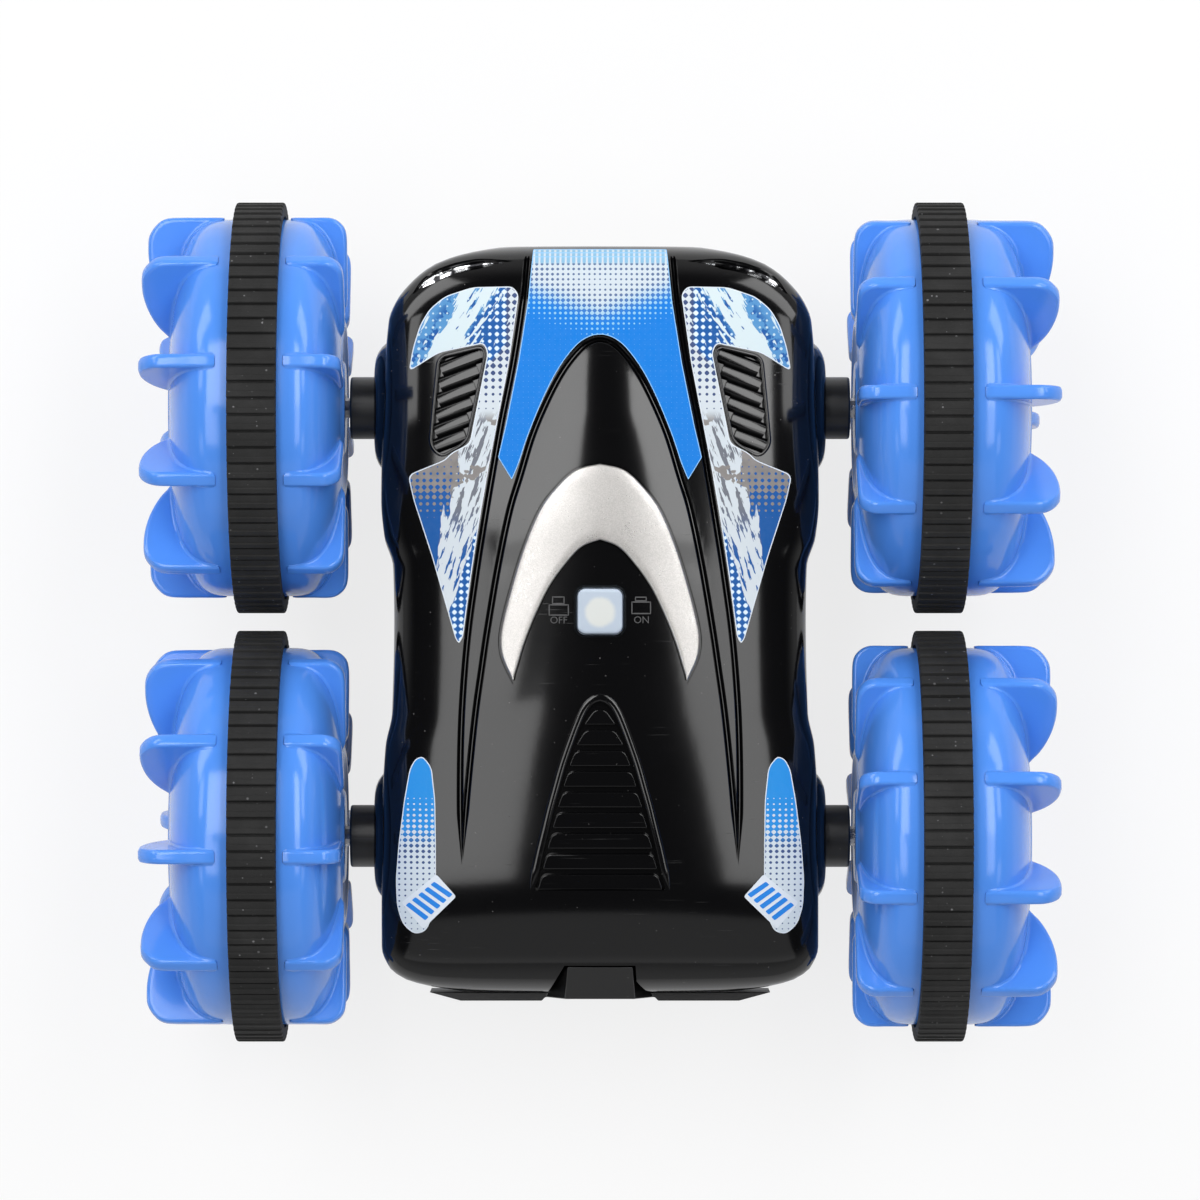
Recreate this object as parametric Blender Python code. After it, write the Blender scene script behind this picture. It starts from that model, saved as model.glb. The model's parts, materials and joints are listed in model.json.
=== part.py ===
"""Amphibious four-wheel stunt car, built as its separate pieces.

Units are metres, +Z is up and +Y is the direction of travel. The origin lies on the
ground, midway between the four wheels. Both drive trains are the same set of pieces:
the right one is the left one turned half a turn about Z.
"""

import math

import bmesh
import bpy
from mathutils import Matrix, Vector

MM = 0.001
SHARP_ANGLE = math.radians(35)

# ---------------------------------------------------------------- driving dimensions
CLEAR = 0.3 * MM            # gap kept between pieces that touch
WHEEL_GAP = 3.5 * MM        # between the treads of the front and the rear wheels
WHEEL_STANDOFF = 7.0 * MM   # between the hull's side and a wheel's inner fins
WHEEL_RADIUS = 41.0 * MM    # over the rubber tread

TREAD_WIDTH = 9.6 * MM
TREAD_THICKNESS = 3.0 * MM
TREAD_FACETS = 40
DRUM_WALL = 1.7 * MM
DRUM_DEPTH_OUTER = 17.6 * MM
DRUM_DEPTH_INNER = 16.8 * MM
DRUM_FACE_RADIUS = 17.5 * MM
HUB_RADIUS = 8.1 * MM
SCREW_WELL_RADIUS = 6.5 * MM
SCREW_WELL_DEPTH = 4.0 * MM
FIN_COUNT = 10
FIN_THICKNESS = 2.8 * MM
FIN_REACH_OUTER = 4.8 * MM  # how far an outer fin stands out past the drum's face
FIN_REACH_INNER = 0.4 * MM

AXLE_RADIUS = 2.0 * MM
AXLE_TUBE_RADIUS = 6.2 * MM
AXLE_SCREW_RADIUS = 1.2 * MM
AXLE_SCREW_HEAD_RADIUS = 4.0 * MM
AXLE_SCREW_DEPTH = 5.0 * MM

HULL_OVERHANG = 10.53 * MM  # hull past the body screws, at each end
HULL_MIDDLE = 0.6 * MM     # how far the hull's middle lies ahead of the wheels' middle
HULL_WALL = 1.8 * MM
ROOF_HEIGHT = 24.0 * MM     # above the seam between the two shells
KEEL_DEPTH = 24.0 * MM      # below it
CANOPY_RISE = 1.8 * MM
BOSS_RADIUS = 16.4 * MM
BOSS_PROUD = 1.5 * MM

BUTTON_Y = 2.2 * MM
BUTTON_SIZE = 8.8 * MM
BUTTON_CORNER = 1.6 * MM
BUTTON_PROUD = 1.2 * MM
BUTTON_TRAVEL = 1.8 * MM
BUTTON_FLANGE = 0.9 * MM    # rim that keeps the button under the roof
STEM_RADIUS = 1.4 * MM
SWITCH_SIZE = 8.0 * MM
SWITCH_HEIGHT = 4.6 * MM

TRIM_THICKNESS = 0.8 * MM
TRIM_HALF_WIDTH = 19.3 * MM

BOARD_WIDTH = 34.0 * MM
BOARD_LENGTH = 46.0 * MM
BOARD_THICKNESS = 1.6 * MM
BOARD_DROP = 10.6 * MM      # from the top of the roof down to its underside
BOARD_POST_RADIUS = 2.2 * MM

BATTERY_WIDTH = 29.0 * MM
BATTERY_LENGTH = 50.0 * MM
BATTERY_THICKNESS = 10.5 * MM
BATTERY_CORNER = 1.5 * MM
DOOR_THICKNESS = 2.0 * MM
SEAL_THICKNESS = 1.0 * MM
DOOR_TAB_LENGTH = 7.0 * MM
DOOR_SCREW_RADIUS = 1.1 * MM
DOOR_SCREW_HEAD_RADIUS = 2.1 * MM
DOOR_SCREW_HEAD_HEIGHT = 1.1 * MM
DOOR_SCREW_LENGTH = 8.0 * MM
LEDGE_WIDTH = 2.2 * MM      # ledge round the battery well that the seal lies on
WELL_WALL = 1.4 * MM

MAIN_TEETH = 16
MAIN_WIDTH = 4.5 * MM
CENTRE_TEETH = 20           # wheel driven by the reduction gear's small pinion
REDUCTION_SMALL_TEETH = 8
REDUCTION_BIG_TEETH = 24
PINION_TEETH = 8
CENTRE_MODULE = 1.1 * MM
REDUCTION_MODULE = 0.75 * MM
SECOND_WIDTH = 2.9 * MM
THIRD_WIDTH = 2.7 * MM
GEAR_PIN_RADIUS = 1.6 * MM
GEAR_GAP = 0.4 * MM         # side play beside each gear
GEARBOX_WALL = 1.5 * MM
GEARBOX_INNER_GAP = 1.8 * MM  # between the gearbox case and the battery well
GEARBOX_OUTER_GAP = 7.1 * MM  # between the gearbox cover and the hull's wall
GEARBOX_CORNER = 8.0 * MM
GEARBOX_AIR = 0.8 * MM      # between the tooth tips and the wall round them
GEARBOX_REST_RADIUS = 3.0 * MM

MOTOR_LENGTH = 24.6 * MM
MOTOR_WIDTH = 20.0 * MM
MOTOR_HEIGHT = 15.0 * MM
MOTOR_SHAFT_RADIUS = 1.0 * MM
MOTOR_RAISE = 3.0 * MM      # motor shaft above the wheel axles

BODY_SCREW_X = 20.0 * MM
BODY_SCREW_GAP = 2.5 * MM   # between a body screw's boss and the gearbox case
BODY_SCREW_RADIUS = 1.3 * MM
BODY_SCREW_LENGTH = 12.0 * MM
SCREW_SHOULDER_DEPTH = 5.0 * MM  # where a body screw's head bears, below the seam
SCREW_HEAD_RADIUS = 2.5 * MM
SCREW_HEAD_HEIGHT = 1.7 * MM
SCREW_BOSS_RADIUS = 3.9 * MM

BUMPER_THICKNESS = 1.7 * MM
BUMPER_HALF_WIDTH = 34.0 * MM
BUMPER_WING_HALF_WIDTH = 27.7 * MM
BUMPER_BOTTOM = 10.0 * MM   # below the seam
BUMPER_TOP = 4.5 * MM       # above it
BUMPER_STEP = 0.7 * MM      # how much the middle stands back from the wings
BUMPER_HUMP_HALF_WIDTH = 10.9 * MM
BUMPER_HUMP_NOSE_HALF_WIDTH = 7.0 * MM
BUMPER_HUMP_DEPTH = 5.6 * MM
BUMPER_HUMP_RISE = 11.6 * MM
BUMPER_HUMP_ROOT = 0.6 * MM  # overlap of hump and bar
BUMPER_HUMP_DROP = 5.0 * MM  # fall of the hump's top towards the tail
BUMPER_HUMP_LEAN = math.radians(17)

LEAD_RADIUS = 0.8 * MM
LEAD_BEND = 2.5 * MM        # how far a motor lead swings out behind its motor
LEAD_GAP = 1.6 * MM         # between the battery's lead and a motor's lead
BATTERY_LEAD_Y = 21.0 * MM

# Resting turn of each wheel's fins about its axle, in degrees from straight up.
FIN_PHASE = {
    "front_left": -12.5,
    "rear_left": 4.2,
    "front_right": -3.1,
    "rear_right": -19.5,
}

# ---------------------------------------------------------------- derived sizes
AXLE_Z = WHEEL_RADIUS
SEAM_Z = AXLE_Z
WHEELBASE = 2 * WHEEL_RADIUS + WHEEL_GAP
HALF_BASE = WHEELBASE / 2
TREAD_INNER = WHEEL_RADIUS - TREAD_THICKNESS
DRUM_RADIUS = TREAD_INNER - CLEAR
BORE_RADIUS = AXLE_RADIUS + CLEAR
MAIN_RADIUS = WHEELBASE / 8                  # five equal gears span the wheelbase
MAIN_MODULE = 2 * MAIN_RADIUS / MAIN_TEETH
CENTRE_RADIUS = CENTRE_MODULE * CENTRE_TEETH / 2
REDUCTION_SMALL_RADIUS = CENTRE_MODULE * REDUCTION_SMALL_TEETH / 2
REDUCTION_BIG_RADIUS = REDUCTION_MODULE * REDUCTION_BIG_TEETH / 2
PINION_RADIUS = REDUCTION_MODULE * PINION_TEETH / 2
REDUCTION_Y = CENTRE_RADIUS + REDUCTION_SMALL_RADIUS
MOTOR_REACH = REDUCTION_BIG_RADIUS + PINION_RADIUS
MOTOR_ANGLE = math.asin(MOTOR_RAISE / MOTOR_REACH)
MOTOR_Y = REDUCTION_Y + MOTOR_REACH * math.cos(MOTOR_ANGLE)
MOTOR_Z = AXLE_Z + MOTOR_RAISE

# Distances from the car's middle plane, from the battery well outwards.
WELL_HALF_WIDTH = BATTERY_WIDTH / 2 + CLEAR
RECESS_HALF_WIDTH = WELL_HALF_WIDTH + LEDGE_WIDTH
PLATE_IN = RECESS_HALF_WIDTH + WELL_WALL + GEARBOX_INNER_GAP
PLATE_OUT = PLATE_IN + GEARBOX_WALL
THIRD_IN = PLATE_OUT + GEAR_GAP
THIRD_OUT = THIRD_IN + THIRD_WIDTH
SECOND_IN = THIRD_OUT + GEAR_GAP
SECOND_OUT = SECOND_IN + SECOND_WIDTH
MAIN_IN = SECOND_OUT
MAIN_OUT = MAIN_IN + MAIN_WIDTH
COVER_IN = MAIN_OUT + GEAR_GAP
GEARBOX_OUTSIDE = COVER_IN + GEARBOX_WALL
HULL_HALF_WIDTH = GEARBOX_OUTSIDE + GEARBOX_OUTER_GAP + HULL_WALL
HALF_TRACK = HULL_HALF_WIDTH + WHEEL_STANDOFF + FIN_REACH_INNER + DRUM_DEPTH_INNER
MOTOR_FRONT = PLATE_IN - CLEAR
MOTOR_TAIL = MOTOR_LENGTH - MOTOR_FRONT + 2 * CLEAR
BATTERY_LEAD_X = MOTOR_TAIL + LEAD_BEND + 2 * LEAD_RADIUS + LEAD_GAP
DRUM_INNER_FACE = HALF_TRACK - DRUM_DEPTH_INNER - FIN_REACH_INNER
AXLE_TUBE_END = DRUM_INNER_FACE - 2 * CLEAR
AXLE_START = PLATE_IN + CLEAR
AXLE_END = HALF_TRACK + DRUM_DEPTH_OUTER - SCREW_WELL_DEPTH - CLEAR
GEARBOX_HALF_HEIGHT = (CENTRE_RADIUS + CENTRE_MODULE) + GEARBOX_AIR + GEARBOX_WALL
GEARBOX_HALF_LENGTH = HALF_BASE + MAIN_RADIUS + MAIN_MODULE + GEARBOX_AIR + GEARBOX_WALL
BODY_SCREW_Y = GEARBOX_HALF_LENGTH + BODY_SCREW_GAP + SCREW_BOSS_RADIUS
HULL_HALF_LENGTH = BODY_SCREW_Y + HULL_OVERHANG
SCREW_SHOULDER = SEAM_Z - SCREW_SHOULDER_DEPTH
SCREW_TIP = SCREW_SHOULDER + BODY_SCREW_LENGTH

KEEL_Z = SEAM_Z - KEEL_DEPTH
DOOR_TOP = KEEL_Z + DOOR_THICKNESS
LEDGE_Z = DOOR_TOP + SEAL_THICKNESS + 2 * CLEAR
BATTERY_BOTTOM = DOOR_TOP + CLEAR
BATTERY_TOP = BATTERY_BOTTOM + BATTERY_THICKNESS
WELL_ROOF = BATTERY_TOP + CLEAR
WELL_HALF_LENGTH = BATTERY_LENGTH / 2 + CLEAR
RECESS_HALF_LENGTH = WELL_HALF_LENGTH + LEDGE_WIDTH
DOOR_TAB_HALF_WIDTH = DOOR_TAB_LENGTH / 2 + LEDGE_WIDTH
DOOR_SCREW_Y = -(RECESS_HALF_LENGTH + DOOR_TAB_LENGTH / 2)
DOOR_SCREW_SHOULDER = KEEL_Z + DOOR_SCREW_HEAD_HEIGHT + CLEAR
DOOR_SCREW_TIP = DOOR_SCREW_SHOULDER + DOOR_SCREW_LENGTH
BOARD_BOTTOM = SEAM_Z + ROOF_HEIGHT - BOARD_DROP
BOARD_TOP = BOARD_BOTTOM + BOARD_THICKNESS

# ---------------------------------------------------------------- materials
FINISHES = {
    "gloss_black": ((0.012, 0.012, 0.014, 1), 0.12, 0.0),
    "satin_black": ((0.02, 0.02, 0.022, 1), 0.4, 0.0),
    "blue_plastic": ((0.10, 0.30, 0.86, 1), 0.25, 0.0),
    "tread_rubber": ((0.02, 0.02, 0.02, 1), 0.75, 0.0),
    "silver_paint": ((0.66, 0.64, 0.62, 1), 0.28, 0.9),
    "milky_silicone": ((0.82, 0.88, 0.95, 1), 0.4, 0.0),
    "steel": ((0.6, 0.6, 0.6, 1), 0.3, 1.0),
    "white_nylon": ((0.86, 0.85, 0.80, 1), 0.5, 0.0),
    "gearbox_grey": ((0.12, 0.12, 0.13, 1), 0.5, 0.0),
    "motor_can": ((0.62, 0.62, 0.60, 1), 0.3, 1.0),
    "brass": ((0.75, 0.55, 0.25, 1), 0.3, 1.0),
    "board_green": ((0.02, 0.20, 0.08, 1), 0.45, 0.0),
    "battery_wrap": ((0.05, 0.22, 0.55, 1), 0.35, 0.0),
    "seal_rubber": ((0.04, 0.04, 0.04, 1), 0.8, 0.0),
    "lead_red": ((0.7, 0.03, 0.03, 1), 0.45, 0.0),
}


def finish(name):
    """The material of that name, made the first time it is asked for."""
    material = bpy.data.materials.get(name)
    if material is None:
        colour, roughness, metallic = FINISHES[name]
        material = bpy.data.materials.new(name)
        material.use_nodes = True
        shader = material.node_tree.nodes["Principled BSDF"]
        shader.inputs["Base Color"].default_value = colour
        shader.inputs["Roughness"].default_value = roughness
        shader.inputs["Metallic"].default_value = metallic
    return material


# ---------------------------------------------------------------- modelling helpers
def add_object(name, mesh, material, place=None):
    """A scene object for the mesh; place is a matrix that goes into the mesh itself."""
    if place is not None:
        mesh.transform(place)
    obj = bpy.data.objects.new(name, mesh)
    mesh.materials.append(finish(material))
    bpy.context.scene.collection.objects.link(obj)
    return obj


def set_origin(obj, origin):
    """Moves a moving piece's origin onto its joint axis; its shape stays where it is."""
    obj.data.transform(Matrix.Translation(origin).inverted())
    obj.location = origin
    return obj


def helper(name, mesh):
    """A cutter, or a piece that a Boolean joins to another: never a node of its own."""
    obj = bpy.data.objects.new(name, mesh)
    bpy.context.scene.collection.objects.link(obj)
    obj.hide_render = True
    obj.display_type = "WIRE"
    return obj


def boolean(obj, other, operation):
    modifier = obj.modifiers.new(other.name, "BOOLEAN")
    modifier.operation = operation
    modifier.object = other
    modifier.solver = "EXACT"


def mesh_from(name, bm):
    bmesh.ops.recalc_face_normals(bm, faces=bm.faces)
    mesh = bpy.data.meshes.new(name)
    bm.to_mesh(mesh)
    bm.free()
    mesh.shade_smooth()
    mesh.set_sharp_from_angle(angle=SHARP_ANGLE)
    return mesh


def axis_matrix(axis):
    """Turns shapes drawn in the XY plane and raised along +Z so that they rise along axis."""
    if axis == "X":  # drawing x, y become world y, z
        return Matrix(((0, 0, 1, 0), (1, 0, 0, 0), (0, 1, 0, 0), (0, 0, 0, 1)))
    return Matrix.Identity(4)


def prism(name, loops, low, high, axis="Z"):
    """Mesh of an outline, with holes, raised from low to high along axis."""
    bm = bmesh.new()
    for loop in loops:
        verts = [bm.verts.new((x, y, low)) for x, y in loop]
        for i, vert in enumerate(verts):
            bm.edges.new((vert, verts[(i + 1) % len(verts)]))
    if len(loops) == 1:
        bm.faces.new(bm.verts)
    else:
        bmesh.ops.triangle_fill(bm, use_beauty=True, edges=bm.edges)
    raised = bmesh.ops.extrude_face_region(bm, geom=bm.faces[:])["geom"]
    verts = [g for g in raised if isinstance(g, bmesh.types.BMVert)]
    bmesh.ops.translate(bm, verts=verts, vec=(0, 0, high - low))
    bmesh.ops.transform(bm, matrix=axis_matrix(axis), verts=bm.verts)
    return mesh_from(name, bm)


def circle(x, y, radius, sides=16, phase=0.0):
    step = 2 * math.pi / sides
    return [
        (x + radius * math.cos(phase + k * step), y + radius * math.sin(phase + k * step))
        for k in range(sides)
    ]


def rounded_box(half_x, half_y, corner, steps=3, x=0.0, y=0.0):
    """Outline of a rectangle with round corners, anticlockwise."""
    points = []
    for quarter, (sx, sy) in enumerate(((1, 1), (-1, 1), (-1, -1), (1, -1))):
        for k in range(steps + 1):
            angle = (quarter + k / steps) * math.pi / 2
            points.append(
                (
                    x + sx * (half_x - corner) + corner * math.cos(angle),
                    y + sy * (half_y - corner) + corner * math.sin(angle),
                )
            )
    return points


def rectangle(half_x, half_y, x=0.0, y=0.0):
    return [
        (x + half_x, y + half_y),
        (x - half_x, y + half_y),
        (x - half_x, y - half_y),
        (x + half_x, y - half_y),
    ]


def round_bar(name, x, y, radius, low, high, axis="Z", sides=16):
    """A plain round bar; x and y are its centre in the plane across axis."""
    return prism(name, [circle(x, y, radius, sides, math.pi / sides)], low, high, axis)


def block(name, half_x, half_y, low, high, x=0.0, y=0.0):
    return prism(name, [rectangle(half_x, half_y, x, y)], low, high)


def smooth_through(points, at):
    """Value at `at` of a smooth curve through (place, value) points, placed in falling order."""
    if at >= points[0][0]:
        return points[0][1]
    if at <= points[-1][0]:
        return points[-1][1]
    k = next(i for i in range(len(points) - 1) if points[i + 1][0] <= at)
    (x0, y0), (x1, y1) = points[k], points[k + 1]

    def slope(i):
        if i <= 0 or i >= len(points) - 1:
            j = min(max(i, 0), len(points) - 2)
            return (points[j + 1][1] - points[j][1]) / (points[j + 1][0] - points[j][0])
        before = (points[i][1] - points[i - 1][1]) / (points[i][0] - points[i - 1][0])
        after = (points[i + 1][1] - points[i][1]) / (points[i + 1][0] - points[i][0])
        return 0.0 if before * after <= 0 else 2 * before * after / (before + after)

    t, span = (at - x0) / (x1 - x0), x1 - x0
    return (
        (2 * t**3 - 3 * t**2 + 1) * y0
        + (t**3 - 2 * t**2 + t) * span * slope(k)
        + (3 * t**2 - 2 * t**3) * y1
        + (t**3 - t**2) * span * slope(k + 1)
    )


# ---------------------------------------------------------------- hull shape
# Each list gives a share of a hull size at a share of the hull's half length, nose first.
PLAN = [
    (1.0, 0.52), (0.98, 0.66), (0.95, 0.79), (0.90, 0.885), (0.85, 0.945), (0.80, 0.972),
    (0.65, 0.985), (0.32, 1.0), (0.22, 0.985), (0.14, 0.945), (0.0, 0.94), (-0.25, 0.95),
    (-0.34, 0.98), (-0.5, 0.995), (-0.88, 1.0), (-0.935, 0.965), (-0.965, 0.90),
    (-0.985, 0.80), (-1.0, 0.68),
]
ROOF = [
    (1.0, 0.46), (0.97, 0.60), (0.90, 0.74), (0.75, 0.87), (0.5, 0.97), (0.2, 1.0),
    (-0.2, 1.0), (-0.45, 0.965), (-0.7, 0.87), (-0.88, 0.72), (-0.96, 0.56), (-1.0, 0.42),
]
KEEL = [
    (1.0, 0.42), (0.97, 0.58), (0.88, 0.78), (0.75, 0.92), (0.55, 1.0),
    (-0.55, 1.0), (-0.75, 0.93), (-0.88, 0.80), (-0.97, 0.60), (-1.0, 0.45),
]
CANOPY = [
    (0.745, 0.0), (0.69, 0.17), (0.62, 0.25), (0.5, 0.325), (0.33, 0.40), (0.1, 0.48),
    (-0.15, 0.55), (-0.4, 0.60), (-0.62, 0.63),
]
ROOF_POWER = 3.2
KEEL_POWER = 4.5
HULL_STATIONS = (
    1.0, 0.98, 0.94, 0.86, 0.74, 0.60, 0.40, 0.24, 0.12,
    -0.22, -0.36, -0.56, -0.74, -0.88, -0.94, -0.975, -1.0,
)
HULL_SIDES = 12


def hull_share(y):
    return (y - HULL_MIDDLE) / HULL_HALF_LENGTH


def plan_half_width(y):
    return HULL_HALF_WIDTH * smooth_through(PLAN, hull_share(y))


def canopy_rise(x, y):
    """Extra height of the raised canopy in the middle of the roof."""
    share = hull_share(y)
    half = HULL_HALF_WIDTH * smooth_through(CANOPY, share)
    if share > CANOPY[0][0] or share < CANOPY[-1][0] or half <= abs(x):
        return 0.0
    fade = min(1.0, (share - CANOPY[-1][0]) / 0.5) * min(1.0, (CANOPY[0][0] - share) / 0.2)
    return CANOPY_RISE * (1 - (abs(x) / half) ** 2) * fade


def shell_height(x, y, profile, height, power, inset=0.0):
    """Distance of the hull's skin from the seam, over the plan point (x, y)."""
    rise = height * smooth_through(profile, hull_share(y)) - inset
    across = min(1.0, abs(x) / (plan_half_width(y) - inset))
    return rise * (1 - across**power) ** (1 / power)


def roof_z(x, y):
    return SEAM_Z + shell_height(x, y, ROOF, ROOF_HEIGHT, ROOF_POWER) + canopy_rise(x, y)


def keel_z(x, y):
    return SEAM_Z - shell_height(x, y, KEEL, KEEL_DEPTH, KEEL_POWER)


def hull_section(y, inset, profile, height, power, rise):
    """Points of one cross-section from the right side over the middle to the left side."""
    half = plan_half_width(y) - inset
    rise_at_middle = height * smooth_through(profile, hull_share(y)) - inset
    points = []
    for k in range(HULL_SIDES + 1):
        angle = math.pi * k / HULL_SIDES
        c, s = math.cos(angle), math.sin(angle)
        x = half * math.copysign(abs(c) ** (2 / power), c)
        depth = rise_at_middle * s ** (2 / power)
        points.append((x, depth + (rise(x, y) if 0 < k < HULL_SIDES else 0.0)))
    return points


def hull_shell(name, profile, height, power, upward, rise):
    """A lofted half hull with an even wall, open at the seam."""
    bm = bmesh.new()
    skins = []
    seam = SEAM_Z + upward * CLEAR / 2
    for inset in (0.0, HULL_WALL):
        rings = []
        for share in HULL_STATIONS:
            y = HULL_MIDDLE + share * (HULL_HALF_LENGTH - inset)
            section = hull_section(y, inset, profile, height, power, rise)
            rings.append([bm.verts.new((x, y, seam + upward * d)) for x, d in section])
        for ring, after in zip(rings, rings[1:]):
            for k in range(HULL_SIDES):
                bm.faces.new((ring[k], ring[k + 1], after[k + 1], after[k]))
        for end in (rings[0], rings[-1]):
            bm.faces.new(end)
        skins.append(rings)
    outer, inner = skins
    rims = [
        [r[0] for r in rings] + [r[-1] for r in reversed(rings)] for rings in (outer, inner)
    ]
    for k in range(len(rims[0])):
        after = (k + 1) % len(rims[0])
        bm.faces.new((rims[0][k], rims[0][after], rims[1][after], rims[1][k]))
    return mesh_from(name, bm)


def side_boss(name, side, y, upward):
    """Half of the round boss that stands out from the hull's side round an axle tube."""
    sweep = [math.pi * k / 9 for k in range(10)]
    loop = [
        (y + BOSS_RADIUS * math.cos(a), SEAM_Z + upward * (CLEAR + BOSS_RADIUS * math.sin(a)))
        for a in sweep
    ]
    inside, outside = HULL_HALF_WIDTH - HULL_WALL, HULL_HALF_WIDTH + BOSS_PROUD
    low, high = (inside, outside) if side > 0 else (-outside, -inside)
    return helper(name, prism(name, [loop], low, high, "X"))


def axle_openings(name):
    """One cutter for the four holes that the axle tubes pass through."""
    bm = bmesh.new()
    reach = HULL_HALF_WIDTH + 4 * BOSS_PROUD
    for side in (-1, 1):
        for y in (-HALF_BASE, HALF_BASE):
            low, high = sorted((side * GEARBOX_OUTSIDE, side * reach))
            bar = round_bar(name, y, AXLE_Z, AXLE_TUBE_RADIUS + CLEAR, low, high, "X")
            bm.from_mesh(bar)
    return helper(name, mesh_from(name, bm))


def add_side_bosses(shell, word, upward):
    for side in (-1, 1):
        for y in (-HALF_BASE, HALF_BASE):
            boss = side_boss(f"{word}_boss_{side}_{y > 0}", side, y, upward)
            boolean(shell, boss, "UNION")


def four_places(x, y):
    return [(side * x, end * y) for side in (-1, 1) for end in (-1, 1)]


def add_posts(shell, word, places, radius, free_end, skin_z):
    """Posts that run from the middle of the shell's wall to a flat free end."""
    inward = 1 if free_end > skin_z(0, 0) else -1
    for i, (x, y) in enumerate(places):
        mesh = round_bar(f"{word}_{i}", x, y, radius, free_end - inward * MM, free_end, sides=8)
        for vert in mesh.vertices:
            if abs(vert.co.z - free_end) > CLEAR:
                vert.co.z = skin_z(vert.co.x, vert.co.y) + inward * HULL_WALL / 2
        boolean(shell, helper(f"{word}_{i}", mesh), "UNION")


def drill(shell, word, places, radius, low, high, sides=8):
    for i, (x, y) in enumerate(places):
        name = f"{word}_{i}"
        hole = round_bar(name, x, y, radius, low, high, sides=sides)
        boolean(shell, helper(name, hole), "DIFFERENCE")


# ---------------------------------------------------------------- body shells


def make_top_shell():
    mesh = hull_shell("top_shell", ROOF, ROOF_HEIGHT, ROOF_POWER, 1, canopy_rise)
    shell = add_object("top_shell", mesh, "gloss_black")
    add_side_bosses(shell, "roof", 1)
    screws = four_places(BODY_SCREW_X, BODY_SCREW_Y)
    corners = four_places(
        BOARD_WIDTH / 2 - 1.5 * BOARD_POST_RADIUS, BOARD_LENGTH / 2 - 1.5 * BOARD_POST_RADIUS
    )
    add_posts(shell, "roof_post", screws, SCREW_BOSS_RADIUS, SEAM_Z + CLEAR, roof_z)
    add_posts(shell, "board_post", corners, BOARD_POST_RADIUS, BOARD_TOP + CLEAR, roof_z)
    drill(
        shell, "roof_pilot", screws, BODY_SCREW_RADIUS + CLEAR, SEAM_Z - HULL_WALL,
        SCREW_TIP + CLEAR,
    )
    boolean(shell, axle_openings("roof_axle_holes"), "DIFFERENCE")
    hole = rounded_box(
        BUTTON_SIZE / 2 + CLEAR, BUTTON_SIZE / 2 + CLEAR, BUTTON_CORNER, x=0, y=BUTTON_Y
    )
    roof = SEAM_Z + ROOF_HEIGHT
    cutter = prism("button_hole", [hole], roof - 3 * HULL_WALL, roof + 3 * HULL_WALL)
    boolean(shell, helper("button_hole", cutter), "DIFFERENCE")
    notch = helper("bumper_notch", hump_mesh("bumper_notch", CLEAR, ROOF_HEIGHT))
    boolean(shell, notch, "DIFFERENCE")
    return shell


def make_bottom_shell():
    mesh = hull_shell("bottom_shell", KEEL, KEEL_DEPTH, KEEL_POWER, -1, lambda x, y: 0.0)
    shell = add_object("bottom_shell", mesh, "gloss_black")
    add_side_bosses(shell, "keel", -1)
    add_battery_well(shell)
    rests = four_places((PLATE_IN + GEARBOX_OUTSIDE) / 2, HALF_BASE)
    gearbox_bottom = AXLE_Z - GEARBOX_HALF_HEIGHT - CLEAR
    add_posts(shell, "gearbox_rest", rests, GEARBOX_REST_RADIUS, gearbox_bottom, keel_z)
    screws = four_places(BODY_SCREW_X, BODY_SCREW_Y)
    add_posts(shell, "keel_post", screws, SCREW_BOSS_RADIUS, SEAM_Z - CLEAR, keel_z)
    below = KEEL_Z - HULL_WALL
    drill(shell, "keel_hole", screws, BODY_SCREW_RADIUS + CLEAR, below, SEAM_Z + CLEAR)
    drill(shell, "keel_sink", screws, SCREW_HEAD_RADIUS + CLEAR, below, SCREW_SHOULDER)
    boolean(shell, axle_openings("keel_axle_holes"), "DIFFERENCE")
    return shell


def add_battery_well(shell):
    """Box in the keel for the battery, with a stepped opening that its door closes."""
    floor = KEEL_Z + HULL_WALL / 2
    below = KEEL_Z - 2 * HULL_WALL
    well = block(
        "battery_well", RECESS_HALF_WIDTH + WELL_WALL, RECESS_HALF_LENGTH + WELL_WALL,
        floor, WELL_ROOF + WELL_WALL,
    )
    boolean(shell, helper("battery_well", well), "UNION")
    tab_room = DOOR_TAB_HALF_WIDTH + WELL_WALL
    tab_roof = DOOR_TOP + CLEAR + WELL_WALL
    for name, radius, top in (
        ("door_tab_boss", tab_room, tab_roof),
        ("door_screw_boss", DOOR_SCREW_RADIUS * 2.5, DOOR_SCREW_TIP + WELL_WALL),
    ):
        boss = round_bar(name, 0, DOOR_SCREW_Y, radius, floor, top, sides=12)
        boolean(shell, helper(name, boss), "UNION")
    door_room = prism("door_recess", [door_outline(0.0)], below, DOOR_TOP + CLEAR)
    boolean(shell, helper("door_recess", door_room), "DIFFERENCE")
    for name, half_x, half_y, top in (
        ("seal_recess", RECESS_HALF_WIDTH, RECESS_HALF_LENGTH, LEDGE_Z),
        ("battery_cavity", WELL_HALF_WIDTH, WELL_HALF_LENGTH, WELL_ROOF),
    ):
        boolean(shell, helper(name, block(name, half_x, half_y, below, top)), "DIFFERENCE")
    drill(
        shell, "lead_hole", [(BATTERY_LEAD_X, BATTERY_LEAD_Y)], LEAD_RADIUS + CLEAR,
        BATTERY_TOP - WELL_WALL, WELL_ROOF + 2 * WELL_WALL,
    )
    drill(
        shell, "door_screw_pilot", [(0, DOOR_SCREW_Y)], DOOR_SCREW_RADIUS + CLEAR,
        below, DOOR_SCREW_TIP + CLEAR,
    )


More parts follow.
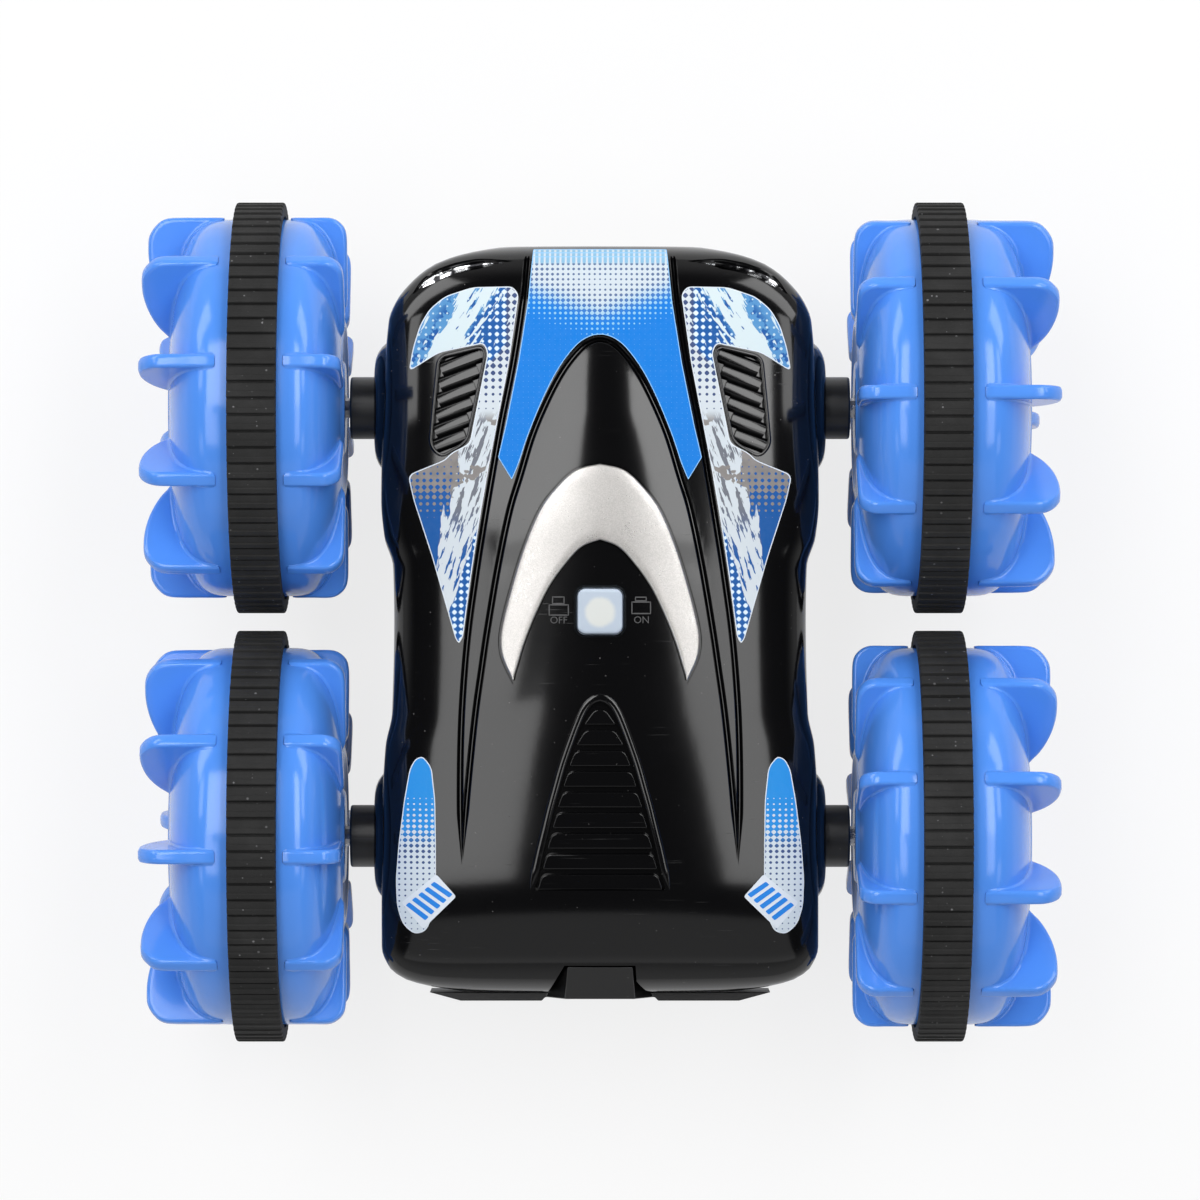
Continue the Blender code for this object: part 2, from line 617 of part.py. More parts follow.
def hump_mesh(name, margin, rise):
    """Wedge in the middle of the tail: narrow end forwards, with cheeks that lean in."""
    tail = HULL_MIDDLE - HULL_HALF_LENGTH - CLEAR
    nose = tail + BUMPER_HUMP_DEPTH + margin
    lean = BUMPER_HUMP_RISE * math.tan(BUMPER_HUMP_LEAN)
    bm = bmesh.new()
    rings = []
    for top in (0, 1):
        low = SEAM_Z + BUMPER_TOP - BUMPER_HUMP_ROOT
        ring = [
            (BUMPER_HUMP_HALF_WIDTH + margin - top * lean, tail - BUMPER_THICKNESS + BUMPER_STEP),
            (BUMPER_HUMP_NOSE_HALF_WIDTH + margin - top * lean / 2, nose),
        ]
        ring += [(-x, y) for x, y in reversed(ring)]
        slope = BUMPER_HUMP_DROP if top else 0.0
        heights = [low - margin + top * (rise + margin) - slope * end for end in (1, 0, 0, 1)]
        rings.append([bm.verts.new((x, y, z)) for (x, y), z in zip(ring, heights)])
    for k in range(4):
        j = (k + 1) % 4
        bm.faces.new((rings[0][k], rings[0][j], rings[1][j], rings[1][k]))
    bm.faces.new(rings[0])
    bm.faces.new(rings[1])
    return mesh_from(name, bm)


def make_rear_bumper():
    """Faceted bar across the tail, with a hump that fills the notch in the roof shell."""
    near = HULL_MIDDLE - HULL_HALF_LENGTH - CLEAR
    far = near - BUMPER_THICKNESS
    half, wing, hump = BUMPER_HALF_WIDTH, BUMPER_WING_HALF_WIDTH, BUMPER_HUMP_HALF_WIDTH
    right = [(half, near), (wing, far), (hump + BUMPER_STEP, far), (hump, far + BUMPER_STEP)]
    plan = right + [(-x, y) for x, y in reversed(right)]
    mesh = prism("rear_bumper", [plan], SEAM_Z - BUMPER_BOTTOM, SEAM_Z + BUMPER_TOP)
    bumper = add_object("rear_bumper", mesh, "satin_black")
    wedge = helper("bumper_hump", hump_mesh("bumper_hump", 0.0, BUMPER_HUMP_RISE))
    boolean(bumper, wedge, "UNION")
    return bumper


# ---------------------------------------------------------------- roof trim and button
TRIM_OUTER = [  # (along, across) of the chevron's outer edge in shares of its half width
    (1.601, 0.0), (1.534, 0.228), (1.316, 0.435), (1.0155, 0.632), (0.6943, 0.803),
    (0.311, 0.9326), (0.0, 1.0), (-0.3627, 1.0), (-0.6114, 0.8912),
]
TRIM_INNER = [
    (0.829, 0.0), (0.7876, 0.1244), (0.6684, 0.2539), (0.513, 0.3575), (0.3005, 0.487),
    (0.0725, 0.601), (-0.1554, 0.6943), (-0.3834, 0.798), (-0.6114, 0.8808),
]


def make_windscreen_trim():
    """Chevron that lies on the canopy; its two skins follow the roof."""
    right = list(zip(TRIM_OUTER, TRIM_INNER))
    both = [(pair, -1) for pair in reversed(right[1:])] + [(pair, 1) for pair in right]
    bm = bmesh.new()
    rings = []
    for (outer, inner), side in both:
        ring = []
        for (along, across), lift in (
            (outer, 0.0), (outer, TRIM_THICKNESS), (inner, TRIM_THICKNESS), (inner, 0.0)
        ):
            x, y = side * across * TRIM_HALF_WIDTH, along * TRIM_HALF_WIDTH
            ring.append(bm.verts.new((x, y, roof_z(x, y) + 2 * CLEAR + lift)))
        rings.append(ring)
    for ring, after in zip(rings, rings[1:]):
        for k in range(4):
            j = (k + 1) % 4
            bm.faces.new((ring[k], ring[j], after[j], after[k]))
    bm.faces.new(rings[0])
    bm.faces.new(rings[-1])
    return add_object("windscreen_trim", mesh_from("windscreen_trim", bm), "silver_paint")


BUTTON_TOP = SEAM_Z + ROOF_HEIGHT + CANOPY_RISE + BUTTON_PROUD
SWITCH_TOP = BOARD_TOP + CLEAR + SWITCH_HEIGHT
BUTTON_SKIRT = SWITCH_TOP + BUTTON_TRAVEL + CLEAR
STEM_BOTTOM = SWITCH_TOP - STEM_RADIUS
SWITCH_BORE_BOTTOM = STEM_BOTTOM - BUTTON_TRAVEL - CLEAR


def make_power_button():
    half = BUTTON_SIZE / 2
    cap = prism(
        "power_button",
        [rounded_box(half, half, BUTTON_CORNER, x=0, y=BUTTON_Y)],
        BUTTON_SKIRT,
        BUTTON_TOP,
    )
    button = add_object("power_button", cap, "milky_silicone")
    rim = half + BUTTON_FLANGE
    flange = prism(
        "button_flange",
        [rounded_box(rim, rim, BUTTON_CORNER, x=0, y=BUTTON_Y)],
        BUTTON_SKIRT,
        BUTTON_SKIRT + BUTTON_FLANGE,
    )
    boolean(button, helper("button_flange", flange), "UNION")
    stem = round_bar(
        "button_stem", 0, BUTTON_Y, STEM_RADIUS, STEM_BOTTOM, BUTTON_SKIRT + BUTTON_FLANGE / 2,
        sides=8,
    )
    boolean(button, helper("button_stem", stem), "UNION")
    return set_origin(button, (0, BUTTON_Y, BUTTON_SKIRT))


def make_power_switch():
    body = block(
        "power_switch", SWITCH_SIZE / 2, SWITCH_SIZE / 2, BOARD_TOP + CLEAR, SWITCH_TOP,
        y=BUTTON_Y,
    )
    switch = add_object("power_switch", body, "satin_black")
    bore = round_bar(
        "switch_bore", 0, BUTTON_Y, STEM_RADIUS + CLEAR, SWITCH_BORE_BOTTOM,
        SWITCH_TOP + SWITCH_HEIGHT, sides=8,
    )
    boolean(switch, helper("switch_bore", bore), "DIFFERENCE")
    return switch


# ---------------------------------------------------------------- board and battery
def make_control_board():
    mesh = block("control_board", BOARD_WIDTH / 2, BOARD_LENGTH / 2, BOARD_BOTTOM, BOARD_TOP)
    board = add_object("control_board", mesh, "board_green")
    for name, width, length, height, x, y in (
        ("radio_chip", 0.15, 0.085, 0.75, -0.26, 0.26),
        ("driver_chip", 0.12, 0.13, 0.85, 0.29, -0.2),
        ("lead_socket", 0.18, 0.085, 2.0, 0.18, 0.3),
    ):
        part = block(
            name, width / 2 * BOARD_WIDTH, length / 2 * BOARD_LENGTH,
            BOARD_TOP - BOARD_THICKNESS / 2, BOARD_TOP + height * BOARD_THICKNESS,
            x=x * BOARD_WIDTH, y=y * BOARD_LENGTH,
        )
        boolean(board, helper(name, part), "UNION")
    return board


def make_battery():
    mesh = prism(
        "battery_pack",
        [rounded_box(BATTERY_WIDTH / 2, BATTERY_LENGTH / 2, BATTERY_CORNER, steps=2)],
        BATTERY_BOTTOM,
        BATTERY_TOP,
    )
    return add_object("battery_pack", mesh, "battery_wrap")


def door_outline(margin):
    """Rectangle of the battery door with a round-ended tab at the tail for its screw."""
    half_x = RECESS_HALF_WIDTH - margin
    half_y = RECESS_HALF_LENGTH - margin
    tab = DOOR_TAB_HALF_WIDTH - margin
    sweep = [math.pi + math.pi * k / 6 for k in range(7)]
    nose = [(tab * math.cos(a), DOOR_SCREW_Y + tab * math.sin(a)) for a in sweep]
    return [(half_x, half_y), (-half_x, half_y), (-half_x, -half_y)] + [
        (-tab, -half_y), *nose, (tab, -half_y), (half_x, -half_y)
    ]


def make_battery_door():
    hole = circle(0, DOOR_SCREW_Y, DOOR_SCREW_RADIUS + CLEAR, 12)
    mesh = prism("battery_door", [door_outline(CLEAR), hole], KEEL_Z, DOOR_TOP)
    door = add_object("battery_door", mesh, "gloss_black")
    drill(
        door, "door_screw_sink", [(0, DOOR_SCREW_Y)], DOOR_SCREW_HEAD_RADIUS + CLEAR,
        KEEL_Z - HULL_WALL, DOOR_SCREW_SHOULDER,
    )
    return door


def make_door_seal():
    outer = rectangle(RECESS_HALF_WIDTH - CLEAR, RECESS_HALF_LENGTH - CLEAR)
    inner = rectangle(WELL_HALF_WIDTH + CLEAR, WELL_HALF_LENGTH + CLEAR)
    low = DOOR_TOP + CLEAR
    mesh = prism("battery_door_seal", [outer, inner], low, low + SEAL_THICKNESS)
    return add_object("battery_door_seal", mesh, "seal_rubber")


def make_screw(name, x, y, shoulder, tip, radius, head_radius, head_height, axis="Z", flip=1):
    """Pan-head screw: a head under the shoulder and a shank up to the tip."""
    shank = round_bar(name, x, y, radius, *sorted((shoulder - flip * head_height / 2, tip)),
                      axis, sides=8)
    screw = add_object(name, shank, "steel")
    head_name = f"{name}_head"
    head = round_bar(
        head_name, x, y, head_radius, *sorted((shoulder, shoulder - flip * head_height)),
        axis, sides=10,
    )
    boolean(screw, helper(head_name, head), "UNION")
    return screw


def make_body_screws():
    for end, end_word in ((1, "front"), (-1, "rear")):
        for side, side_word in ((-1, "left"), (1, "right")):
            make_screw(
                f"{end_word}_{side_word}_body_screw",
                side * BODY_SCREW_X, end * BODY_SCREW_Y,
                SCREW_SHOULDER - CLEAR, SCREW_TIP,
                BODY_SCREW_RADIUS, SCREW_HEAD_RADIUS, SCREW_HEAD_HEIGHT,
            )


# ---------------------------------------------------------------- gears
HALF_TURN = Matrix.Diagonal((-1, -1, 1, 1))


def gear_outline(y, z, teeth, module, phase):
    """Straight-flanked tooth outline, one tooth centred on the angle phase."""
    radius = module * teeth / 2
    tip, root = radius + 0.9 * module, radius - 1.2 * module
    pitch = 2 * math.pi / teeth
    points = []
    for k in range(teeth):
        middle = phase + k * pitch
        for share, r in ((-0.27, root), (-0.12, tip), (0.12, tip), (0.27, root)):
            angle = middle + share * pitch
            points.append((y + r * math.cos(angle), z + r * math.sin(angle)))
    return points


def side_object(name, mesh, material, side):
    """Pieces are drawn for the left side; the right side's are turned half a turn about Z."""
    return add_object(name, mesh, material, HALF_TURN if side > 0 else None)


def set_gear_origin(gear, side, y, z=AXLE_Z):
    x = (MAIN_IN + MAIN_OUT) / 2
    return set_origin(gear, (side * x, -side * y, z))


def gear_blank(name, y, teeth, module, phase, near, far):
    """Left-side gear mesh between two distances from the car's middle plane."""
    return prism(name, [gear_outline(y, AXLE_Z, teeth, module, phase)], -far, -near, "X")


def make_compound_gear(name, side, y, blanks, bore):
    """Gear of two tooth rings on one boss, bored for its pin."""
    first, second = blanks
    gear = side_object(name, gear_blank(name, y, *first), "white_nylon", side)
    ring_name = f"{name}_second_ring"
    add_tool(gear, ring_name, gear_blank(ring_name, y, *second), side)
    bore_name = f"{name}_bore"
    hole = round_bar(bore_name, y, AXLE_Z, bore, -COVER_IN, -PLATE_IN, "X", 12)
    if side > 0:
        hole.transform(HALF_TURN)
    boolean(gear, helper(bore_name, hole), "DIFFERENCE")
    return set_gear_origin(gear, side, y)


def make_plain_gear(name, side, y, teeth, module, phase, near, far, bore):
    loops = [gear_outline(y, AXLE_Z, teeth, module, phase), circle(y, AXLE_Z, bore, 12)]
    gear = side_object(name, prism(name, loops, -far, -near, "X"), "white_nylon", side)
    return set_gear_origin(gear, side, y)


def make_gear_train(side):
    word = "right" if side > 0 else "left"
    ahead, behind = ("rear", "front") if side > 0 else ("front", "rear")
    spacing = 2 * MAIN_RADIUS
    half_pitch = math.pi / MAIN_TEETH
    main = (MAIN_TEETH, MAIN_MODULE)
    pin_bore = GEAR_PIN_RADIUS + CLEAR
    for place, end in ((1, ahead), (-1, behind)):
        make_plain_gear(
            f"{word}_{end}_idler_gear", side, place * spacing, *main, half_pitch,
            MAIN_IN + GEAR_GAP, MAIN_OUT, pin_bore,
        )
        make_plain_gear(
            f"{end}_{word}_axle_gear", side, 2 * place * spacing, *main, 0.0,
            MAIN_IN + GEAR_GAP, MAIN_OUT, BORE_RADIUS,
        )
    make_compound_gear(
        f"{word}_centre_gear", side, 0.0,
        (
            (*main, 0.0, MAIN_IN, MAIN_OUT),
            (
                CENTRE_TEETH, CENTRE_MODULE, 0.0, SECOND_IN + GEAR_GAP,
                MAIN_IN + GEAR_GAP - CLEAR,
            ),
        ),
        pin_bore,
    )
    make_compound_gear(
        f"{word}_reduction_gear", side, REDUCTION_Y,
        (
            (REDUCTION_BIG_TEETH, REDUCTION_MODULE, MOTOR_ANGLE, THIRD_IN, THIRD_OUT),
            (
                REDUCTION_SMALL_TEETH, CENTRE_MODULE, math.pi / REDUCTION_SMALL_TEETH,
                THIRD_OUT - GEAR_GAP, SECOND_OUT - GEAR_GAP,
            ),
        ),
        pin_bore,
    )
    phase = MOTOR_ANGLE + math.pi + math.pi / PINION_TEETH
    loops = [
        [
            (y + MOTOR_Y, z + MOTOR_Z)
            for y, z in gear_outline(0, 0, PINION_TEETH, REDUCTION_MODULE, phase)
        ],
        circle(MOTOR_Y, MOTOR_Z, MOTOR_SHAFT_RADIUS + CLEAR, 8),
    ]
    pinion = prism(f"{word}_motor_pinion", loops, -THIRD_OUT, -THIRD_IN, "X")
    pinion = side_object(f"{word}_motor_pinion", pinion, "brass", side)
    set_gear_origin(pinion, side, MOTOR_Y, MOTOR_Z)


def add_tool(target, name, mesh, side):
    """Joins a left-side mesh to the target, on whichever side the target is."""
    if side > 0:
        mesh.transform(HALF_TURN)
    boolean(target, helper(name, mesh), "UNION")


def add_gear_pins(target, name, side, places, root):
    """Pins of a gearbox half: each place is (distance forwards, where the pin ends)."""
    for i, (place, end) in enumerate(places):
        pin_name = f"{name}_pin_{i}"
        low, high = sorted((-root, -end))
        pin = round_bar(pin_name, place, AXLE_Z, GEAR_PIN_RADIUS, low, high, "X", sides=8)
        add_tool(target, pin_name, pin, side)


def gearbox_outline(inset):
    return rounded_box(
        GEARBOX_HALF_LENGTH - inset, GEARBOX_HALF_HEIGHT - inset, GEARBOX_CORNER - inset,
        steps=2, y=AXLE_Z,
    )


def axle_bores(sides=12):
    return [circle(end * HALF_BASE, AXLE_Z, BORE_RADIUS, sides) for end in (-1, 1)]


def make_gearbox_case(side):
    """Tray beside the motor, with the pins of the centre gear and the reduction gear."""
    name = f"{'right' if side > 0 else 'left'}_gearbox_case"
    shaft_hole = circle(MOTOR_Y, MOTOR_Z, MOTOR_SHAFT_RADIUS + 2 * CLEAR, 8)
    loops = [gearbox_outline(0.0), *axle_bores(), shaft_hole]
    plate = prism(name, loops, -PLATE_OUT, -PLATE_IN, "X")
    case = side_object(name, plate, "gearbox_grey", side)
    rim, root = COVER_IN - CLEAR, PLATE_OUT - GEARBOX_WALL / 2
    wall = prism(
        f"{name}_wall", [gearbox_outline(0.0), gearbox_outline(GEARBOX_WALL)], -rim, -root, "X"
    )
    add_tool(case, f"{name}_wall", wall, side)
    pins = [(0.0, rim), (REDUCTION_Y, SECOND_OUT - CLEAR)]
    add_gear_pins(case, name, side, pins, root)
    return case


def make_gearbox_cover(side):
    """Outer plate with both axle tubes and the pins of the idler gears."""
    name = f"{'right' if side > 0 else 'left'}_gearbox_cover"
    loops = [gearbox_outline(0.0), *axle_bores()]
    plate = prism(name, loops, -GEARBOX_OUTSIDE, -COVER_IN, "X")
    cover = side_object(name, plate, "satin_black", side)
    root = COVER_IN + GEARBOX_WALL / 2
    for end in (-1, 1):
        tube_name = f"{name}_tube_{end}"
        loops = [
            circle(end * HALF_BASE, AXLE_Z, AXLE_TUBE_RADIUS, 20),
            circle(end * HALF_BASE, AXLE_Z, BORE_RADIUS, 12),
        ]
        add_tool(cover, tube_name, prism(tube_name, loops, -AXLE_TUBE_END, -root, "X"), side)
    pins = [(end * 2 * MAIN_RADIUS, MAIN_IN + GEAR_GAP) for end in (-1, 1)]
    add_gear_pins(cover, name, side, pins, root)
    return cover


def make_motor(side):
    """Flat-sided can motor with its shaft through the gearbox plate."""
    word = "right" if side > 0 else "left"
    name = f"{word}_motor"
    can = rounded_box(
        MOTOR_WIDTH / 2, MOTOR_HEIGHT / 2, MOTOR_HEIGHT * 0.45, steps=3, x=MOTOR_Y, y=MOTOR_Z
    )
    mesh = prism(name, [can], -MOTOR_FRONT, -(MOTOR_FRONT - MOTOR_LENGTH), "X")
    motor = side_object(name, mesh, "motor_can", side)
    shaft = round_bar(
        f"{name}_shaft", MOTOR_Y, MOTOR_Z, MOTOR_SHAFT_RADIUS, -THIRD_OUT,
        -(MOTOR_FRONT - MOTOR_LENGTH / 2), "X", sides=8,
    )
    add_tool(motor, f"{name}_shaft", shaft, side)
    return motor


# ---------------------------------------------------------------- wheels
def drum_profile(depth, well):
    """Closed outline (across, radius) of one half of a hollow wheel drum."""
    start = CLEAR / 2
    seat = TREAD_WIDTH / 2 + CLEAR
    inner = DRUM_RADIUS - DRUM_WALL
    back = depth - DRUM_WALL
    outside = [
        (start, DRUM_RADIUS),
        (seat, DRUM_RADIUS),
        (depth * 0.43, DRUM_RADIUS * 0.992),
        (depth * 0.76, DRUM_RADIUS * 0.87),
        (depth, DRUM_FACE_RADIUS),
    ]
    if well:
        face = [
            (depth, SCREW_WELL_RADIUS),
            (depth - SCREW_WELL_DEPTH, SCREW_WELL_RADIUS),
            (depth - SCREW_WELL_DEPTH, BORE_RADIUS),
        ]
    else:
        face = [(depth, BORE_RADIUS)]
    inside = [
        (start, BORE_RADIUS),
        (start, HUB_RADIUS),
        (back, HUB_RADIUS),
        (back, DRUM_FACE_RADIUS - DRUM_WALL),
        (depth * 0.66, inner * 0.87),
        (start, inner),
    ]
    return outside, face + inside


def fin_edge(depth, reach):
    """Outer edge of a fin from where it leaves the drum by the tread to the drum's face."""
    lip = DRUM_RADIUS + CLEAR
    if reach > DRUM_WALL:
        return [
            (depth, lip), (depth + 0.76 * reach, lip * 0.945), (depth + reach, lip * 0.855),
            (depth + 0.92 * reach, lip * 0.74), (depth + 0.55 * reach, lip * 0.585),
        ]
    return [(depth - 2 * DRUM_WALL, lip), (depth + reach, lip * 0.965),
            (depth + reach, lip * 0.56)]


def wheel_half(name, place, outward, depth, reach, well):
    """One half of a wheel drum with its paddle fins, spun about the axle."""
    x0, y0, phase, side = place
    outside, rest = drum_profile(depth, well)
    fin = fin_edge(depth, reach)
    first, last = 2, len(outside) - 1
    bm = bmesh.new()

    def ring(points, angle, way):
        """Points beside a fin's middle plane, or evenly spaced where fins would meet."""
        made = []
        for across, radius in points:
            shift = way * min(FIN_THICKNESS / 2, radius * math.sin(math.pi / FIN_COUNT / 2))
            flat = math.sqrt(radius**2 - shift**2)
            y = flat * math.sin(angle) + shift * math.cos(angle)
            z = flat * math.cos(angle) - shift * math.sin(angle)
            made.append(bm.verts.new((x0 + side * outward * across, y0 + y, AXLE_Z + z)))
        return made

    stations = []
    for k in range(FIN_COUNT):
        angle = math.radians(-phase) + 2 * math.pi * k / FIN_COUNT
        for way in (-1, 1):
            drum = ring(outside + rest, angle, way)
            blade = ring(fin, angle, way)
            stations.append((drum, [drum[first], *blade, drum[last]]))
    count = len(outside) + len(rest)
    for k, (drum, blade) in enumerate(stations):
        after_drum, after_blade = stations[(k + 1) % len(stations)]
        spans_fin = k % 2 == 0
        for j in range(count):
            n = (j + 1) % count
            if spans_fin and first <= j < last:
                continue
            bm.faces.new((drum[j], drum[n], after_drum[n], after_drum[j]))
        if spans_fin:
            for j in range(len(blade) - 1):
                bm.faces.new((blade[j], blade[j + 1], after_blade[j + 1], after_blade[j]))
        bm.faces.new(drum[first : last + 1] + blade[-2:0:-1])
    return add_object(name, mesh_from(name, bm), "blue_plastic")


def make_tread(name, x, y):
    flat = WHEEL_RADIUS / math.cos(math.pi / TREAD_FACETS)  # facets, not corners, touch down
    half = math.pi / TREAD_FACETS
    loops = [
        circle(y, AXLE_Z, flat, TREAD_FACETS, math.pi / 2 + half),
        circle(y, AXLE_Z, TREAD_INNER, TREAD_FACETS, math.pi / 2 + half),
    ]
    mesh = prism(name, loops, x - TREAD_WIDTH / 2, x + TREAD_WIDTH / 2, "X")
    return add_object(name, mesh, "tread_rubber")


def make_axle(name, side, y):
    low, high = sorted((side * AXLE_START, side * AXLE_END))
    axle = add_object(name, round_bar(name, y, AXLE_Z, AXLE_RADIUS, low, high, "X", 12), "steel")
    tapped = f"{name}_tapped_hole"
    depth = AXLE_END - AXLE_SCREW_DEPTH - CLEAR
    low, high = sorted((side * depth, side * (AXLE_END + AXLE_RADIUS)))
    hole = round_bar(tapped, y, AXLE_Z, AXLE_SCREW_RADIUS + CLEAR, low, high, "X", 8)
    boolean(axle, helper(tapped, hole), "DIFFERENCE")
    return axle


def make_wheel(word, side, end):
    x, y = side * HALF_TRACK, end * HALF_BASE
    place = (x, y, FIN_PHASE[word], side)
    outer = wheel_half(f"{word}_outer_drum", place, 1, DRUM_DEPTH_OUTER, FIN_REACH_OUTER, True)
    inner = wheel_half(f"{word}_inner_drum", place, -1, DRUM_DEPTH_INNER, FIN_REACH_INNER, False)
    tread = make_tread(f"{word}_tread", x, y)
    axle = make_axle(f"{word}_axle", side, y)
    shoulder = side * (AXLE_END + 2 * CLEAR)
    screw = make_screw(
        f"{word}_wheel_screw", y, AXLE_Z, shoulder, side * (AXLE_END - AXLE_SCREW_DEPTH),
        AXLE_SCREW_RADIUS, AXLE_SCREW_HEAD_RADIUS, SCREW_HEAD_HEIGHT, "X", -side,
    )
    for piece in (outer, inner, tread, axle, screw):
        set_origin(piece, (x, y, AXLE_Z))


# ---------------------------------------------------------------- leads
def smooth_route(points, steps=3):
    """Places along a smooth curve through all the points."""
    padded = [2 * points[0] - points[1], *points, 2 * points[-1] - points[-2]]
    route = []
    for a, b, c, d in zip(padded, padded[1:], padded[2:], padded[3:]):
        for k in range(steps):
            t = k / steps
            cubic = 3 * b - a - 3 * c + d
            square = 2 * a - 5 * b + 4 * c - d
            route.append(0.5 * (2 * b + (c - a) * t + square * t**2 + cubic * t**3))
    return [*route, points[-1]]


def make_lead(name, points, sides=6):
    """A short insulated wire along a smooth curve through the given points."""
    route = smooth_route([Vector(p) for p in points])
    bm = bmesh.new()
    rings = []
    across = Vector((1, 0, 0))
    for i, place in enumerate(route):
        ahead = route[min(i + 1, len(route) - 1)] - route[max(i - 1, 0)]
        across = (across - ahead * across.dot(ahead) / ahead.length_squared).normalized()
        up = ahead.normalized().cross(across)
        ring = []
        for x, y in circle(0, 0, LEAD_RADIUS, sides):
            ring.append(bm.verts.new(place + across * x + up * y))
        rings.append(ring)
    for ring, after in zip(rings, rings[1:]):
        for k in range(sides):
            j = (k + 1) % sides
            bm.faces.new((ring[k], ring[j], after[j], after[k]))
    bm.faces.new(rings[0])
    bm.faces.new(rings[-1])
    return add_object(name, mesh_from(name, bm), "lead_red")


def make_leads():
    x, y = BATTERY_LEAD_X, BATTERY_LEAD_Y
    low, board = BATTERY_TOP + CLEAR, BOARD_BOTTOM - CLEAR
    rise = board - low
    make_lead(
        "battery_lead",
        [
            (x, y, low), (x, y, low + 0.2 * rise), (x + LEAD_RADIUS, y - LEAD_RADIUS, low + 0.47 * rise),
            (x, y - LEAD_BEND, low + 0.84 * rise), (x, y - LEAD_BEND, board),
        ],
    )
    bend = MOTOR_TAIL + LEAD_BEND
    climb = board - MOTOR_Z
    for turn, word in ((1, "left"), (-1, "right")):
        make_lead(
            f"{word}_motor_lead",
            [
                (turn * MOTOR_TAIL, turn * MOTOR_Y, MOTOR_Z),
                (turn * bend, turn * MOTOR_Y, MOTOR_Z + 0.05 * climb),
                (turn * bend, turn * (MOTOR_Y - 2 * LEAD_BEND), MOTOR_Z + 0.4 * climb),
                (turn * bend, turn * (MOTOR_Y - 4 * LEAD_BEND), MOTOR_Z + 0.7 * climb),
                (turn * bend, turn * (MOTOR_Y - 4 * LEAD_BEND), board),
            ],
        )


# ---------------------------------------------------------------- build everything
def main():
    for old in list(bpy.data.objects):
        bpy.data.objects.remove(old)
    make_top_shell()
    make_bottom_shell()
    make_rear_bumper()
    make_windscreen_trim()
    make_power_button()
    make_power_switch()
    make_control_board()
    make_battery()
    make_battery_door()
    make_door_seal()
    make_screw(
        "battery_door_screw", 0, DOOR_SCREW_Y, DOOR_SCREW_SHOULDER - CLEAR, DOOR_SCREW_TIP,
        DOOR_SCREW_RADIUS, DOOR_SCREW_HEAD_RADIUS, DOOR_SCREW_HEAD_HEIGHT,
    )
    make_body_screws()
    for side in (-1, 1):
        make_gear_train(side)
        make_gearbox_case(side)
        make_gearbox_cover(side)
        make_motor(side)
    for word, side, end in (
        ("front_left", -1, 1), ("rear_left", -1, -1),
        ("front_right", 1, 1), ("rear_right", 1, -1),
    ):
        make_wheel(word, side, end)
    make_leads()


if __name__ == "__main__":
    main()
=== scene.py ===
import json
import math

import bmesh
import bpy
import numpy as np
from bpy.props import FloatProperty, FloatVectorProperty, IntProperty, PointerProperty
from mathutils import Matrix, Vector, interpolate
from mathutils.bvhtree import BVHTree


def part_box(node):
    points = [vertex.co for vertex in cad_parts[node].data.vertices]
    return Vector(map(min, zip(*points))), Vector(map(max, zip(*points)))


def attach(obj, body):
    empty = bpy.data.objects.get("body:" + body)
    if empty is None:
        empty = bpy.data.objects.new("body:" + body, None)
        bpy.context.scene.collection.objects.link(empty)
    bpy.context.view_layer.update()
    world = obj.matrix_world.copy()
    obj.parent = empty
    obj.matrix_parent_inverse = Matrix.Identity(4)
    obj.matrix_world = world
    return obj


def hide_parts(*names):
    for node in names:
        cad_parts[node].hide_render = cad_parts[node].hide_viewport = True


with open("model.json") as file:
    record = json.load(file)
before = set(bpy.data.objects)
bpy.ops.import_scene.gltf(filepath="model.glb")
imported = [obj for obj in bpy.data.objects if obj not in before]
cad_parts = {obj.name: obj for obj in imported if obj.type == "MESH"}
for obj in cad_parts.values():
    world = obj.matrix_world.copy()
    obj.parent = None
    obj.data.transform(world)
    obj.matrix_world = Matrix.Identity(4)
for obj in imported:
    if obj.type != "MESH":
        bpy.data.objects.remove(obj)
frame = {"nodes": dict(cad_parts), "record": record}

bl_info = {
    "name": "Stunt Car Looks",
    "version": (1, 0, 0),
    "blender": (4, 5, 0),
    "location": "3D View > Sidebar > Stunt Car",
    "description": "Models and finishes the shells, wheels, grilles and stickers of a toy stunt car",
    "category": "Object",
}

MM = 0.001
UP, DOWN, OUT = Vector((0, 0, 1)), Vector((0, 0, -1)), Vector((1, 0, 0))
MIRROR = Matrix.Diagonal((-1, 1, 1, 1))
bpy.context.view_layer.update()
SIDES = (("left", -1), ("right", 1))
ENDS = (("front", 1), ("rear", -1))
CORNERS = [(f"{end_word}_{word}", side, end) for word, side in SIDES for end_word, end in ENDS]

# -------- sizes taken from the frame
TREAD_LOW, TREAD_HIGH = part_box("front_left_tread")
WHEEL_RADIUS = (TREAD_HIGH.z - TREAD_LOW.z) / 2
SEAM_Z = (TREAD_HIGH.z + TREAD_LOW.z) / 2
HALF_TRACK = -(TREAD_HIGH.x + TREAD_LOW.x) / 2
HALF_BASE = (TREAD_HIGH.y + TREAD_LOW.y) / 2
TREAD_HALF_WIDTH = (TREAD_HIGH.x - TREAD_LOW.x) / 2
ROOF_LOW, ROOF_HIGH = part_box("top_shell")
KEEL_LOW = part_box("bottom_shell")[0]
BOSS_PROUD = 1.5 * MM
HULL_HALF_WIDTH = ROOF_HIGH.x - BOSS_PROUD
HULL_MIDDLE = (ROOF_HIGH.y + ROOF_LOW.y) / 2
HULL_HALF_LENGTH = (ROOF_HIGH.y - ROOF_LOW.y) / 2
CANOPY_RISE = 1.1 * MM
ROOF_HEIGHT = 24.0 * MM
